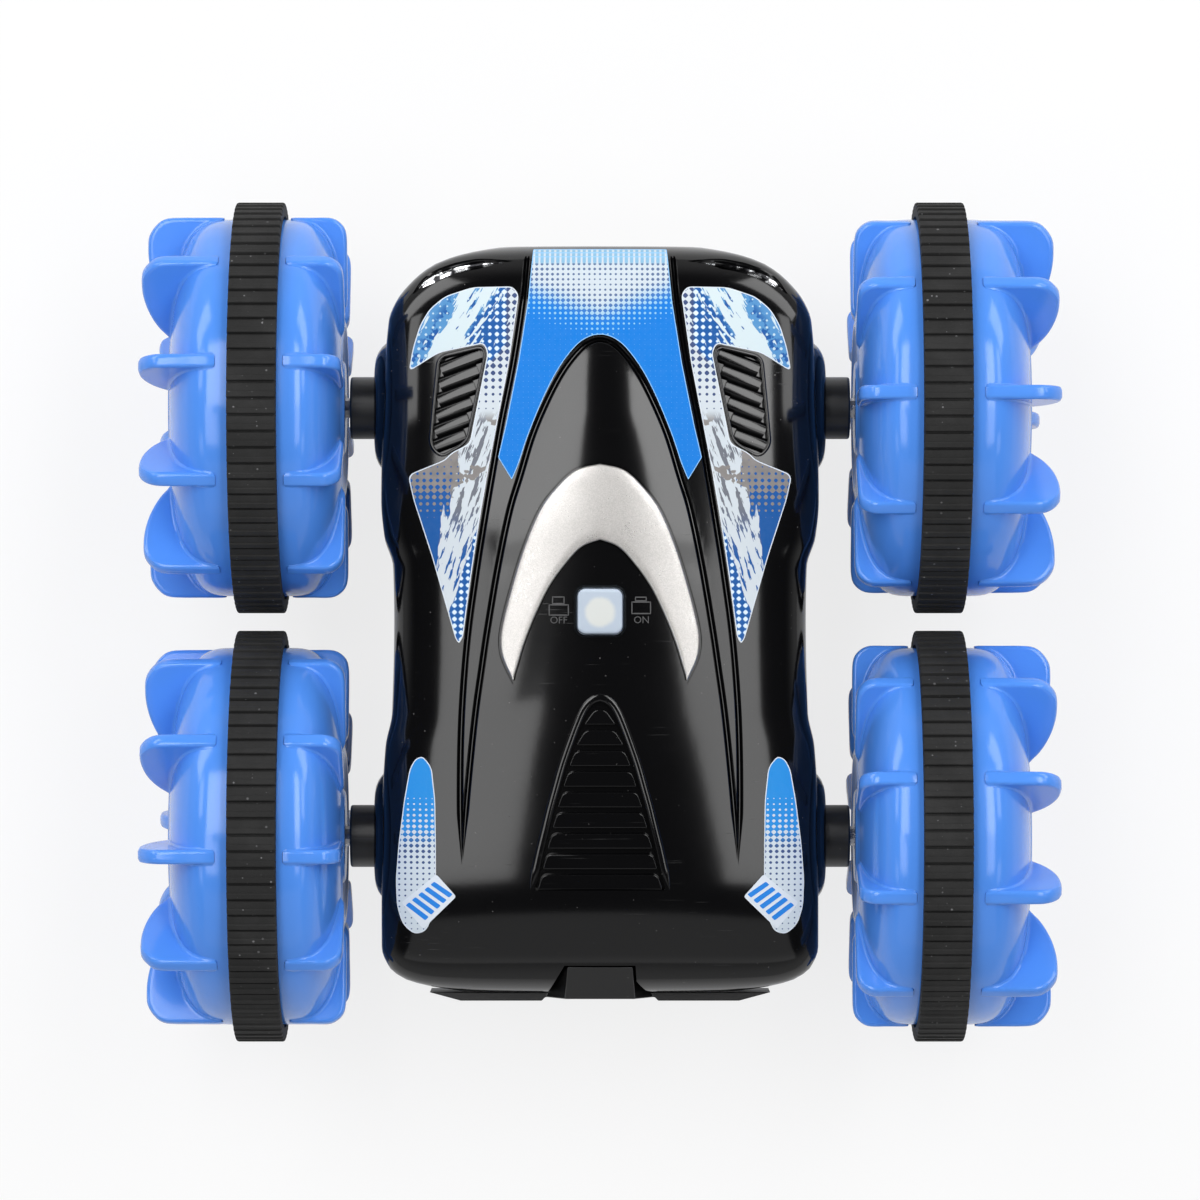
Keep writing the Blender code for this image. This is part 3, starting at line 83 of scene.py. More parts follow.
KEEL_DEPTH = SEAM_Z - KEEL_LOW.z
BUTTON_LOW, BUTTON_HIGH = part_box("power_button")
FIN_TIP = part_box("front_right_outer_drum")[1].x - HALF_TRACK
INNER_FIN_TIP = HALF_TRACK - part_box("front_right_inner_drum")[0].x
SLEEVE_RADIUS = 6.2 * MM
DRUM_DEPTH_OUTER = 17.6 * MM
DRUM_DEPTH_INNER = 16.8 * MM
COVER_LOW, COVER_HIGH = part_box("right_gearbox_cover")

# Shares of the hull's half length, half width and height along its length, nose first.
PLAN = [
    (1.0, 0.50), (0.98, 0.635), (0.95, 0.765), (0.90, 0.87), (0.85, 0.935), (0.80, 0.967),
    (0.65, 0.985), (0.32, 1.0), (0.22, 0.985), (0.14, 0.945), (0.0, 0.94), (-0.25, 0.95),
    (-0.34, 0.98), (-0.5, 0.995), (-0.88, 1.0), (-0.935, 0.965), (-0.965, 0.90),
    (-0.985, 0.80), (-1.0, 0.68),
]
ROOF = [
    (1.0, 0.46), (0.97, 0.60), (0.90, 0.74), (0.75, 0.87), (0.5, 0.97), (0.2, 1.0),
    (-0.2, 1.0), (-0.45, 0.965), (-0.7, 0.87), (-0.88, 0.72), (-0.96, 0.56), (-1.0, 0.42),
]
KEEL = [
    (1.0, 0.42), (0.97, 0.58), (0.88, 0.78), (0.75, 0.92), (0.55, 1.0), (-0.55, 1.0),
    (-0.75, 0.93), (-0.88, 0.80), (-0.97, 0.60), (-1.0, 0.45),
]
ROOF_POWER = 9.0
ROOF_CROWN = 0.20
KEEL_POWER = 4.5

# Lines on the left half of the roof, in millimetres, as (across, along) from the middle.
STRAKE_LINE = [
    (-14.3, 73.6), (-15.2, 63.3), (-17.0, 51.2), (-19.4, 39.0), (-21.0, 29.9), (-22.6, 20.5),
    (-24.4, 9.1), (-26.1, -3.9), (-27.2, -19.0), (-27.5, -34.9), (-27.2, -47.6),
]
CANOPY_LINE = [
    (0.0, 55.6), (-2.3, 54.9), (-4.6, 52.9), (-7.5, 49.0), (-10.4, 43.5), (-13.3, 36.6), (-15.7, 28.7),
    (-17.7, 22.1), (-20.0, 11.1), (-22.0, -0.7), (-23.2, -8.8), (-24.6, -19.0),
    (-26.2, -34.9), (-27.0, -46.6),
]
LOUVRE_ARCH = [
    (-12.9, -52.7), (-12.5, -51.0), (-11.9, -48.7), (-11.0, -44.7), (-10.0, -40.7), (-9.0, -36.6),
    (-7.9, -32.6), (-6.75, -28.5), (-5.35, -24.4), (-3.9, -20.5), (-2.6, -17.6), (-1.3, -16.0), (0.0, -15.5),
]
VENT_OUTLINE = [
    (-31.5, 52.1), (-23.4, 53.9), (-22.9, 52.6), (-26.4, 35.6), (-31.3, 32.9), (-33.1, 35.0),
]
LAMP_LINE = [(-37.0, 64.9), (-34.6, 67.3), (-31.2, 69.2), (-26.8, 70.5), (-21.5, 71.2), (-17.4, 71.4)]
NOSE_STICKER = [(-13.2, 73.9), (-14.2, 63.2), (-16.1, 51.0), (-18.5, 38.8), (-20.0, 32.4)]
NOSE_ARCH = [
    (-17.3, 28.0), (-15.9, 31.4), (-14.1, 36.8), (-11.2, 43.9), (-8.3, 49.6), (-5.1, 54.0),
    (-2.5, 56.0), (0.0, 56.6),
]
FENDER_STICKER = [
    (-37.7, 49.4), (-36.9, 54.0), (-35.5, 58.6), (-33.6, 61.8), (-30.6, 64.3), (-25.1, 66.1),
    (-17.2, 66.2), (-16.0, 64.6), (-17.9, 51.0), (-20.3, 38.6), (-22.0, 29.7), (-23.6, 20.4),
    (-25.3, 9.2), (-26.9, -2.8), (-27.7, -4.2), (-28.4, -3.2), (-33.1, 13.1), (-36.7, 24.1),
    (-37.8, 29.0), (-30.6, 31.9), (-29.1, 33.4), (-25.6, 35.1), (-22.1, 53.0), (-22.9, 54.9), (-31.7, 53.1),
]
TAIL_STICKER = [
    (-34.9, -26.3), (-36.4, -26.9), (-37.5, -28.9), (-38.6, -35.1), (-39.7, -43.5), (-40.3, -50.8),
    (-40.1, -56.0), (-39.0, -59.6), (-36.7, -61.6), (-34.4, -61.0), (-32.9, -57.8), (-32.3, -50.6),
    (-32.3, -43.0), (-32.4, -35.0), (-33.1, -28.4),
]
FLASH_PLATE = [(-39.2, -55.3), (-32.2, -49.6), (-28.3, -54.0), (-34.9, -60.5)]
CHEVRON_OUTER = [
    (0.0, 31.1), (-4.7, 29.9), (-8.6, 26.4), (-11.9, 21.9), (-15.1, 14.3), (-17.7, 5.8),
    (-19.3, -0.7), (-19.6, -4.4), (-19.0, -7.4), (-17.1, -11.4),
]
CHEVRON_INNER = [
    (0.0, 16.2), (-3.7, 14.7), (-7.2, 10.9), (-10.1, 6.7), (-12.4, 2.0), (-13.9, -1.6),
    (-15.1, -4.9), (-15.9, -7.6), (-16.5, -9.6), (-17.0, -11.2),
]
# How far each wheel's paddles are turned at rest, in degrees.
FIN_PHASE = {"front_left": -12.5, "rear_left": 4.2, "front_right": -3.1, "rear_right": -19.5}
LAMP_HEIGHT = 1.36



# -------- what a user may change
def length_setting(name, description, default):
    return FloatProperty(name=name, description=description, default=default, min=0.0, unit="LENGTH")


def number_setting(name, description, default, least, most):
    return IntProperty(name=name, description=description, default=default, min=least, max=most)


def colour_setting(name, description, default):
    return FloatVectorProperty(
        name=name, description=description, default=default, subtype="COLOR", min=0, max=1,
    )


def light_setting(name, description, default):
    return FloatProperty(name=name, description=description, default=default, min=0.0)


class HullSettings(bpy.types.PropertyGroup):
    seam: length_setting("Seam", "Gap between the two shells at the sides", 0.3 * MM)
    wall: length_setting("Wall", "Thickness of the shells", 1.8 * MM)
    end_round: length_setting("End rounding", "Radius of the edge at the nose and the tail", 2.4 * MM)
    groove_width: length_setting("Groove width", "Width of the long grooves in the roof", 1.1 * MM)
    groove_depth: length_setting("Groove depth", "Depth of the long grooves in the roof", 0.75 * MM)
    sticker_lift: length_setting("Sticker thickness", "How far the stickers stand off the roof", 0.07 * MM)


class GrilleSettings(bpy.types.PropertyGroup):
    slat_count: number_setting("Tail slats", "Number of slats in the tail grille", 8, 2, 12)
    slat_pitch: length_setting("Slat pitch", "Distance from one tail slat to the next", 4.07 * MM)
    slat_depth: length_setting("Slat length", "Size of a tail slat along the car", 2.95 * MM)
    recess: length_setting("Recess", "Depth of the grille recesses below the roof", 1.15 * MM)
    vent_count: number_setting("Fender ribs", "Number of ribs in each fender vent", 6, 2, 9)
    rib_pitch: length_setting("Rib pitch", "Distance from one fender rib to the next", 3.06 * MM)
    rib_width: length_setting("Rib width", "Size of a fender rib along the car", 2.0 * MM)


class WheelSettings(bpy.types.PropertyGroup):
    fin_count: number_setting("Paddles", "Number of paddles round each half of a wheel", 10, 3, 16)
    fin_thickness: length_setting("Paddle thickness", "Thickness of a paddle", 2.8 * MM)
    fin_round: length_setting("Paddle rounding", "Radius along a paddle's free edge", 0.7 * MM)
    fillet: length_setting("Paddle fillet", "Radius where a paddle meets the bowl", 0.5 * MM)
    rib_count: number_setting("Tread ribs", "Number of ribs round each tread", 80, 20, 120)
    rib_groove: length_setting("Rib groove", "Width of the groove between two ribs", 0.5 * MM)
    rib_height: length_setting("Rib height", "Height of a rib above the tread's band", 0.8 * MM)


class FinishSettings(bpy.types.PropertyGroup):
    hull_black: colour_setting("Shell black", "Colour of the glossy shells", (0.0022, 0.0022, 0.0026))
    trim_black: colour_setting("Trim black", "Colour of the satin sleeves and bumper", (0.009, 0.009, 0.0095))
    wheel_blue: colour_setting("Wheel blue", "Colour of the wheel bowls and paddles", (0.080, 0.27, 0.82))
    rubber_black: colour_setting("Tread black", "Colour of the rubber treads", (0.009, 0.009, 0.009))
    sticker_blue: colour_setting("Sticker blue", "Strong blue of the stickers", (0.004, 0.19, 0.66))
    sticker_white: colour_setting("Sticker white", "White of the stickers", (0.58, 0.65, 0.71))
    silver: colour_setting("Silver", "Colour of the painted chevron", (0.47, 0.455, 0.44))
    button_white: colour_setting("Button", "Colour of the milky power button", (0.42, 0.49, 0.58))


class StageSettings(bpy.types.PropertyGroup):
    camera_height: length_setting("Camera height", "Height of the camera above the floor", 1.31)
    focal_length: light_setting("Focal length", "Focal length of the camera in millimetres", 190.5)
    nose_lamps: light_setting("Nose lamps", "Brightness of the soft boxes over the nose", 5.2)
    tail_lamps: light_setting("Tail lamps", "Brightness of the soft boxes over the tail", 3.2)
    side_lamps: light_setting("Side lamps", "Brightness of the soft boxes at the sides", 3.2)
    front_panel: light_setting("Front panel", "Brightness of the panel ahead of the car", 4.0)
    rear_panel: light_setting("Rear panel", "Brightness of the panel behind the car", 0.45)
    horizon: light_setting("Horizon", "Brightness of the room near the floor", 0.5)
    ceiling: light_setting("Ceiling", "Brightness of the room overhead", 0.04)


def settings(group):
    return getattr(bpy.context.scene, "stunt_car_" + group)


# -------- selection and shaping by hand
def clear_selection():
    if bpy.context.object and bpy.context.object.mode != "OBJECT":
        bpy.ops.object.mode_set(mode="OBJECT")
    bpy.ops.object.select_all(action="DESELECT")


def pick(obj):
    clear_selection()
    obj.select_set(True)
    bpy.context.view_layer.objects.active = obj
    return obj


def edit(obj, kind="VERT", everything=False):
    pick(obj)
    bpy.ops.object.mode_set(mode="EDIT")
    bpy.ops.mesh.select_mode(type=kind)
    bpy.ops.mesh.select_all(action="SELECT" if everything else "DESELECT")


def leave():
    bpy.ops.object.mode_set(mode="OBJECT")


def select_where(obj, kind, test):
    """Opens edit mode with the corners, edges or faces of obj selected that pass the test."""
    edit(obj, kind)
    leave()
    items = {"VERT": obj.data.vertices, "EDGE": obj.data.edges, "FACE": obj.data.polygons}[kind]
    for item in items:
        item.select = bool(test(item))
    bpy.ops.object.mode_set(mode="EDIT")


def named(obj, name):
    obj.name = name
    obj.data.name = name
    return obj


def settle(obj):
    """Puts the object's place into its mesh."""
    pick(obj)
    bpy.ops.object.transform_apply(location=True, rotation=True, scale=True)
    return obj


def edit_all(obj, work, **values):
    """Runs one of edit mode's operators on a whole mesh."""
    edit(obj, everything=True)
    work(**values)
    leave()
    return obj


def weld(obj, gap):
    """Merges corners that lie closer than gap."""
    return edit_all(obj, bpy.ops.mesh.remove_doubles, threshold=gap)


def face_outwards(obj):
    return edit_all(obj, bpy.ops.mesh.normals_make_consistent, inside=False)


def tidy(obj, gap=0.002 * MM):
    """Merges doubled corners and turns all faces outwards."""
    return face_outwards(weld(obj, gap))


def thicken(sheet, height):
    """Extrudes a flat or curved sheet straight up into a closed solid."""
    edit(sheet, everything=True)
    bpy.ops.mesh.extrude_region_move(TRANSFORM_OT_translate={"value": (0, 0, height)})
    bpy.ops.mesh.select_all(action="SELECT")
    bpy.ops.mesh.normals_make_consistent(inside=False)
    leave()
    return sheet


def apply_modifier(obj, kind, **settings):
    pick(obj)
    modifier = obj.modifiers.new("shape", kind)
    for key, value in settings.items():
        setattr(modifier, key, value)
    bpy.ops.object.modifier_apply(modifier=modifier.name)
    return obj


def open_edges(obj):
    """How many edges do not lie between exactly two faces."""
    edges = np.empty(len(obj.data.loops), dtype=np.int32)
    obj.data.loops.foreach_get("edge_index", edges)
    return int(np.sum(np.bincount(edges, minlength=len(obj.data.edges)) != 2))


def combine(obj, tool, operation="DIFFERENCE"):
    """Cuts tool out of obj, joins it on, or keeps what the two share; the tool is used up."""
    start, allowed, best = obj.data.copy(), open_edges(obj), None
    for _ in range(5):
        apply_modifier(obj, "BOOLEAN", object=tool, operation=operation, solver="EXACT")
        gaps = open_edges(obj)
        if best is None or gaps < best[0]:
            best = (gaps, obj.data)
        if gaps <= allowed:
            break
        obj.data = start.copy()
        tool.data.transform(Matrix.Translation(Vector((0.0021, 0.0013, -0.0017)) * MM))
    obj.data = best[1]
    bpy.data.objects.remove(tool)
    if not obj.data.polygons:
        raise RuntimeError(f"{obj.name}: nothing is left after a {operation} Boolean")
    return obj


def join(objects, name):
    pick(objects[0])
    for obj in objects[1:]:
        obj.select_set(True)
    if len(objects) > 1:
        bpy.ops.object.join()
    return named(bpy.context.view_layer.objects.active, name)


def duplicate(obj, name, matrix=None):
    copy = bpy.data.objects.new(name, obj.data.copy())
    copy.data.name = name
    bpy.context.scene.collection.objects.link(copy)
    if matrix is not None:
        copy.data.transform(matrix)
        if matrix.determinant() < 0:
            copy.data.flip_normals()
    return copy


def round_edges(obj, width, segments=3, angle=30):
    return apply_modifier(
        obj, "BEVEL", width=width, segments=segments, limit_method="ANGLE",
        angle_limit=math.radians(angle), harden_normals=False, use_clamp_overlap=True,
    )


def smooth(obj, angle=35):
    pick(obj)
    bpy.ops.object.shade_smooth_by_angle(angle=math.radians(angle))
    return obj


def crisp(obj, angle=35):
    """Smooth shading in which large flat faces stay flat."""
    return apply_modifier(smooth(obj, angle), "WEIGHTED_NORMAL", keep_sharp=True)


def bevel_end(obj, direction, offset, segments):
    """Rounds the rim of the faces that look in a direction."""
    select_where(obj, "FACE", lambda f: f.normal.dot(direction) > 0.9)
    bpy.ops.mesh.bevel(offset=offset, segments=segments, affect="EDGES")
    leave()
    return obj


def surface_grid(name, columns, rows, place):
    """A grid primitive laid on a surface: place(across, along) gives each corner its point."""
    clear_selection()
    bpy.ops.mesh.primitive_grid_add(x_subdivisions=columns, y_subdivisions=rows, size=2)
    obj = named(bpy.context.object, name)
    for vert in obj.data.vertices:
        vert.co = place(vert.co.x, vert.co.y)
    return obj


def upright(name, outline, low, high):
    """A round primitive whose corners are put on the outline, extruded from low to high."""
    clear_selection()
    bpy.ops.mesh.primitive_circle_add(vertices=len(outline), fill_type="NGON")
    obj = named(bpy.context.object, name)
    for vert, (x, y) in zip(obj.data.vertices, outline):
        vert.co = (x, y, low)
    return thicken(obj, high - low)


def cylinder(name, radius, low, high, centre=(0, 0), axis="Z", sides=64):
    """A round primitive from low to high along its axis."""
    clear_selection()
    turn = (0, math.pi / 2, 0) if axis == "X" else (0, 0, 0)
    middle = (low + high) / 2
    place = (middle, *centre) if axis == "X" else (*centre, middle)
    bpy.ops.mesh.primitive_cylinder_add(
        vertices=sides, radius=radius, depth=high - low, location=place, rotation=turn,
    )
    return settle(named(bpy.context.object, name))


def lathe(name, profile, steps):
    """A closed profile of (along, radius) points spun about the X axis."""
    mesh = bpy.data.meshes.new(name)
    count = len(profile)
    mesh.from_pydata([(a, 0, r) for a, r in profile], [(i, (i + 1) % count) for i in range(count)], [])
    obj = bpy.data.objects.new(name, mesh)
    bpy.context.scene.collection.objects.link(obj)
    axis, middle = (1, 0, 0), (0, 0, 0)
    return tidy(edit_all(obj, bpy.ops.mesh.spin, steps=steps, angle=2 * math.pi, center=middle, axis=axis))


# -------- lines and outlines
def mirrored(points):
    return [(-x, y) for x, y in points]


def in_metres(points, side=-1):
    return [(-side * x * MM, y * MM) for x, y in points]


def smooth_line(points, step):
    """Evenly stepped points on a smooth curve through the given ones."""
    dense = []
    last = len(points) - 1
    for i in range(last):
        a, b, c, d = (np.array(points[min(max(i + k, 0), last)]) for k in (-1, 0, 1, 2))
        for t in np.arange(0, 1, 0.05):
            dense.append(
                0.5 * (2 * b + (c - a) * t + (2 * a - 5 * b + 4 * c - d) * t**2
                       + (3 * b - a - 3 * c + d) * t**3)
            )
    dense.append(np.array(points[-1]))
    return even_steps(dense, step)


def even_steps(points, step):
    points = np.array(points)
    lengths = np.concatenate([[0], np.cumsum(np.linalg.norm(np.diff(points, axis=0), axis=1))])
    count = max(2, round(lengths[-1] / step) + 1)
    marks = np.linspace(0, lengths[-1], count)
    return [tuple(np.interp(mark, lengths, points[:, k]) for k in range(points.shape[1])) for mark in marks]


def rounded(points, radius, steps=5):
    """The outline with each corner turned into an arc-like curve; radius may be one per corner."""
    result = []
    count = len(points)
    for i, here in enumerate(points):
        here = Vector(here)
        before, after = Vector(points[i - 1]), Vector(points[(i + 1) % count])
        back, ahead = before - here, after - here
        size = radius[i] if isinstance(radius, tuple) else radius
        reach = min(size, 0.45 * back.length, 0.45 * ahead.length)
        start, end = here + back.normalized() * reach, here + ahead.normalized() * reach
        for k in range(steps + 1):
            t = k / steps
            point = start * (1 - t) ** 2 + here * 2 * t * (1 - t) + end * t**2
            result.append((point.x, point.y))
    return result


def grow(outline, distance):
    """The outline moved outwards (or inwards) by a distance."""
    count = len(outline)
    area = sum(a[0] * b[1] - b[0] * a[1] for a, b in zip(outline, outline[1:] + outline[:1]))
    turn = 1 if area > 0 else -1
    result = []
    for i, (x, y) in enumerate(outline):
        before, after = Vector(outline[i - 1]), Vector(outline[(i + 1) % count])
        here = Vector((x, y))
        one, two = (here - before).normalized(), (after - here).normalized()
        out = Vector((one.y + two.y, -one.x - two.x)) * turn
        if out.length < 1e-6:
            out = Vector((one.y, -one.x)) * turn
        out.normalize()
        lean = max(0.5, out.dot(Vector((one.y, -one.x)) * turn))
        result.append((x + out.x * distance / lean, y + out.y * distance / lean))
    return result


# -------- the hull's surfaces
def smooth_through(points, at):
    """Value at `at` of a smooth curve through (place, value) points, placed in falling order."""
    if at >= points[0][0]:
        return points[0][1]
    if at <= points[-1][0]:
        return points[-1][1]
    k = next(i for i in range(len(points) - 1) if points[i + 1][0] <= at)
    (x0, y0), (x1, y1) = points[k], points[k + 1]

    def rise(i):
        return (points[i + 1][1] - points[i][1]) / (points[i + 1][0] - points[i][0])

    def slope(i):
        before, after = rise(max(i - 1, 0)), rise(min(i, len(points) - 2))
        return 0.0 if before * after <= 0 else 2 * before * after / (before + after)

    t, span = (at - x0) / (x1 - x0), x1 - x0
    return (
        (2 * t**3 - 3 * t**2 + 1) * y0 + (t**3 - 2 * t**2 + t) * span * slope(k)
        + (3 * t**2 - 2 * t**3) * y1 + (t**3 - t**2) * span * slope(k + 1)
    )


def end_inset(y):
    """How far the rounding of the nose and tail draws the skin in at y."""
    radius = settings("hull").end_round
    depth = radius - (HULL_HALF_LENGTH - abs(y - HULL_MIDDLE))
    if depth <= 0:
        return 0.0
    return radius - math.sqrt(max(0.0, radius**2 - min(depth, radius) ** 2))


def canopy_rise(x, y):
    """Extra height of the raised canopy inside its groove; x may be an array."""
    along = y / MM
    nose, tail = CANOPY_LINE[0][1], CANOPY_LINE[-1][1]
    if not tail < along < nose:
        return 0.0 * np.asarray(x)
    half = MM * smooth_through([(b, -a) for a, b in CANOPY_LINE], along)
    fade = min(1.0, (along - tail) / 68) * min(1.0, (nose - along) / 15)
    return CANOPY_RISE * fade * np.clip(1 - (np.abs(x) / max(half, 0.1 * MM)) ** 2, 0, 1)


def shell_half(y, profile, height, inset=0.0):
    """Half width and height of one cross-section."""
    draw, along = inset + end_inset(y), (y - HULL_MIDDLE) / HULL_HALF_LENGTH
    return HULL_HALF_WIDTH * smooth_through(PLAN, along) - draw, height * smooth_through(profile, along) - draw


def roof_z(x, y):
    half, rise = shell_half(y, ROOF, ROOF_HEIGHT)
    across = min(1.0, abs(x) / half)
    crown = 1 - ROOF_CROWN * across**2
    return SEAM_Z + rise * crown * (1 - across**ROOF_POWER) ** (1 / ROOF_POWER) + float(canopy_rise(x, y))


def keel_z(x, y):
    half, rise = shell_half(y, KEEL, KEEL_DEPTH)
    across = min(1.0, abs(x) / half)
    return SEAM_Z - rise * (1 - across**KEEL_POWER) ** (1 / KEEL_POWER)


def roof_normal(x, y, step=0.05 * MM):
    dx = (roof_z(x + step, y) - roof_z(x - step, y)) / (2 * step)
    dy = (roof_z(x, y + step) - roof_z(x, y - step)) / (2 * step)
    return Vector((-dx, -dy, 1)).normalized()


def section_points(y, inset, upward, columns):
    """Evenly spaced points of one cross-section from the left seam over the top to the right."""
    profile, height, power = (ROOF, ROOF_HEIGHT, ROOF_POWER) if upward > 0 else (KEEL, KEEL_DEPTH, KEEL_POWER)
    half, rise = shell_half(y, profile, height, inset)
    across = np.sin(np.linspace(-math.pi / 2, math.pi / 2, 721))
    x = half * across
    z = rise * np.clip(1 - np.abs(across) ** power, 0, 1) ** (1 / power)
    if upward > 0:
        z = z * (1 - ROOF_CROWN * across**2) + canopy_rise(x, y)
    z = np.maximum(z, settings("hull").seam / 2)
    length = np.concatenate([[0], np.cumsum(np.hypot(np.diff(x), np.diff(z)))])
    marks = np.linspace(0, length[-1], columns + 1)
    return np.interp(marks, length, x), SEAM_Z + upward * np.interp(marks, length, z)


def hull_rows(rows, inset):
    """Places along the hull: close together where the ends round over, even in between."""
    radius = settings("hull").end_round
    reach = HULL_HALF_LENGTH - inset
    curl = [reach - radius * (1 - math.sin(math.radians(a))) for a in (90, 72, 54, 36, 18)]
    flat = np.linspace(radius - reach, reach - radius, rows - 2 * len(curl) + 1)
    return [HULL_MIDDLE + c for c in [-c for c in curl] + list(flat) + curl[::-1]]


def hull_skin(name, upward, inset, columns=120, rows=140):
    """One skin of a shell: a grid laid on the hull's surface, closed at the nose and tail."""
    places = hull_rows(rows, inset)
    sections = [section_points(y, inset, upward, columns) for y in places]

    def place(u, v):
        i, j = round((u + 1) / 2 * columns), round((v + 1) / 2 * rows)
        xs, zs = sections[j]
        return (xs[i], places[j], zs[i])

    obj = surface_grid(name, columns, rows, place)
    for y in (places[0], places[-1]):
        select_where(obj, "VERT", lambda v: abs(v.co.y - y) < 1e-6)
        bpy.ops.mesh.edge_face_add()
        leave()
    outward = upward if inset == 0 else -upward
    face_outwards(obj)
    if min(obj.data.polygons, key=lambda p: abs(p.center.x) + abs(p.center.y)).normal.z * outward < 0:
        obj.data.flip_normals()
    return obj


def hull_shell(name, upward):
    """A shell with an outer skin, an inner skin and a rim that bridges the two at the seam."""
    outer = smooth(hull_skin(name, upward, 0.0))
    model = duplicate(outer, name + "_model")
    inner = hull_skin(name + "_inner", upward, settings("hull").wall)
    shell = join([outer, inner], name)
    edit(shell, "EDGE")
    bpy.ops.mesh.select_non_manifold(extend=False)
    bpy.ops.mesh.bridge_edge_loops()
    leave()
    return shell, model


# -------- normals
def borrow_normals(obj, models, gap=0.02 * MM, agree=0.9):
    """Gives each face that lies on a model's surface the even shading of that model."""
    books = []
    for mesh in (model.data for model in models):
        corners, faces = [tuple(v.co) for v in mesh.vertices], [tuple(p.vertices) for p in mesh.polygons]
        books.append((mesh, BVHTree.FromPolygons(corners, faces), mesh.corner_normals))
    mesh = obj.data
    for face in mesh.polygons:
        face.use_smooth = True
    wanted = [Vector((0, 0, 0))] * len(mesh.loops)
    for face in mesh.polygons:
        middle, normal = face.center, face.normal
        found = None
        for book in books:
            _, turn, index, far = book[1].find_nearest(middle, gap)
            if index is not None and abs(turn.dot(normal)) > agree and (found is None or far < found[1]):
                found = (book, far)
        if found is None:
            continue
        model, tree, normals = found[0]
        for k in face.loop_indices:
            point = mesh.vertices[mesh.loops[k].vertex_index].co
            near = [n for n in tree.find_nearest_range(point, 2 * gap) if abs(n[1].dot(normal)) > agree]
            if not near:
                continue
            hit = min(near, key=lambda n: n[3])
            source = model.polygons[hit[2]]
            shares = poly_shares([model.vertices[i].co for i in source.vertices], hit[0])
            total = Vector((0, 0, 0))
            for share, loop in zip(shares, source.loop_indices):
                total += share * Vector(normals[loop].vector)
            if total.length > 1e-6:
                wanted[k] = total.normalized() * (1 if total.dot(normal) > 0 else -1)
    mesh.normals_split_custom_set(wanted)
    return obj


def poly_shares(corners, point):
    """How much each corner of a face counts at a point on it."""
    return [1 / len(corners)] * len(corners) if len(corners) > 8 else interpolate.poly_3d_calc(corners, point)


# -------- shapes that follow the roof
def from_bmesh(name, bm):
    mesh = bpy.data.meshes.new(name)
    bm.to_mesh(mesh)
    bm.free()
    obj = bpy.data.objects.new(name, mesh)
    bpy.context.scene.collection.objects.link(obj)
    return obj


def loft(name, rings, looped=False):
    """A closed solid through rings of points; looped joins the last ring to the first."""
    bm = bmesh.new()
    rings = [[bm.verts.new(point) for point in ring] for ring in rings]
    for ring, after in list(zip(rings, rings[1:])) + ([(rings[-1], rings[0])] if looped else []):
        for k in range(len(ring)):
            j = (k + 1) % len(ring)
            bm.faces.new((ring[k], ring[j], after[j], after[k]))
    if not looped:
        bm.faces.new(rings[0])
        bm.faces.new(rings[-1])
    bmesh.ops.recalc_face_normals(bm, faces=bm.faces)
    if bm.calc_volume(signed=True) < 0:
        bmesh.ops.reverse_faces(bm, faces=bm.faces)
    return from_bmesh(name, bm)


def roof_ring(before, here, after, section):
    """The (across, up) points of section, set square to a line on the roof."""
    limit = HULL_MIDDLE + HULL_HALF_LENGTH - 2.6 * MM
    x, y = here
    up = roof_normal(x, min(y, limit))
    along = Vector((after[0] - before[0], after[1] - before[1], 0))
    along = (along - up * along.dot(up)).normalized()
    across = along.cross(up)
    centre = Vector((x, y, roof_z(x, min(y, limit))))
    return [centre + across * a + up * b for a, b in section]


def roof_bar(name, path, section, thin_start=0, thin_end=0):
    """A closed bar along a line on the roof that may thin out towards its ends."""
    last = len(path) - 1
    rings = []
    for i, here in enumerate(path):
        share = min(1.0, (i + 0.35) / thin_start if thin_start else 1.0)
        share = min(share, (last - i + 0.35) / thin_end if thin_end else 1.0)
        thin = [(a * share, b * max(share, 0.5)) for a, b in section]
        rings.append(roof_ring(path[max(i - 1, 0)], here, path[min(i + 1, last)], thin))
    return loft(name, rings)


def roof_loop(name, path, section):
    """A closed ring that follows an outline on the roof."""
    count = len(path)
    rings = [roof_ring(path[i - 1], path[i], path[(i + 1) % count], section) for i in range(count)]
    return loft(name, rings, looped=True)


def groove_section(width, depth, lip):
    """Cross-section of a groove cutter: chamfered lips and two sharp valleys beside a thin crest."""
    half, over = width / 2, 4 * lip
    right = [
        (half * 0.12, -depth * 0.3), (half * 0.55, -depth), (half, -lip * 0.6), (half + lip, 0.0),
        (half + lip + over * 0.6, over),
    ]
    return [(-a, b) for a, b in reversed(right)] + right


def roof_slab(name, outline, low, high, pitch=0.8 * MM):
    """The part of a slab between two heights over the roof that lies inside the outline."""
    xs, ys = [p[0] for p in outline], [p[1] for p in outline]
    margin = 1.5 * MM
    x0, x1, y0, y1 = min(xs) - margin, max(xs) + margin, min(ys) - margin, max(ys) + margin
    columns, rows = max(4, round((x1 - x0) / pitch)), max(4, round((y1 - y0) / pitch))

    def place(u, v):
        x, y = (x0 + x1) / 2 + u * (x1 - x0) / 2, (y0 + y1) / 2 + v * (y1 - y0) / 2
        return (x, y, max(roof_z(x, y), SEAM_Z + 2 * MM) + low)

    slab = thicken(surface_grid(name, columns, rows, place), high - low)
    block = upright(name + "_outline", outline, SEAM_Z - 5 * MM, SEAM_Z + ROOF_HEIGHT + 12 * MM)
    return combine(slab, block, "INTERSECT")


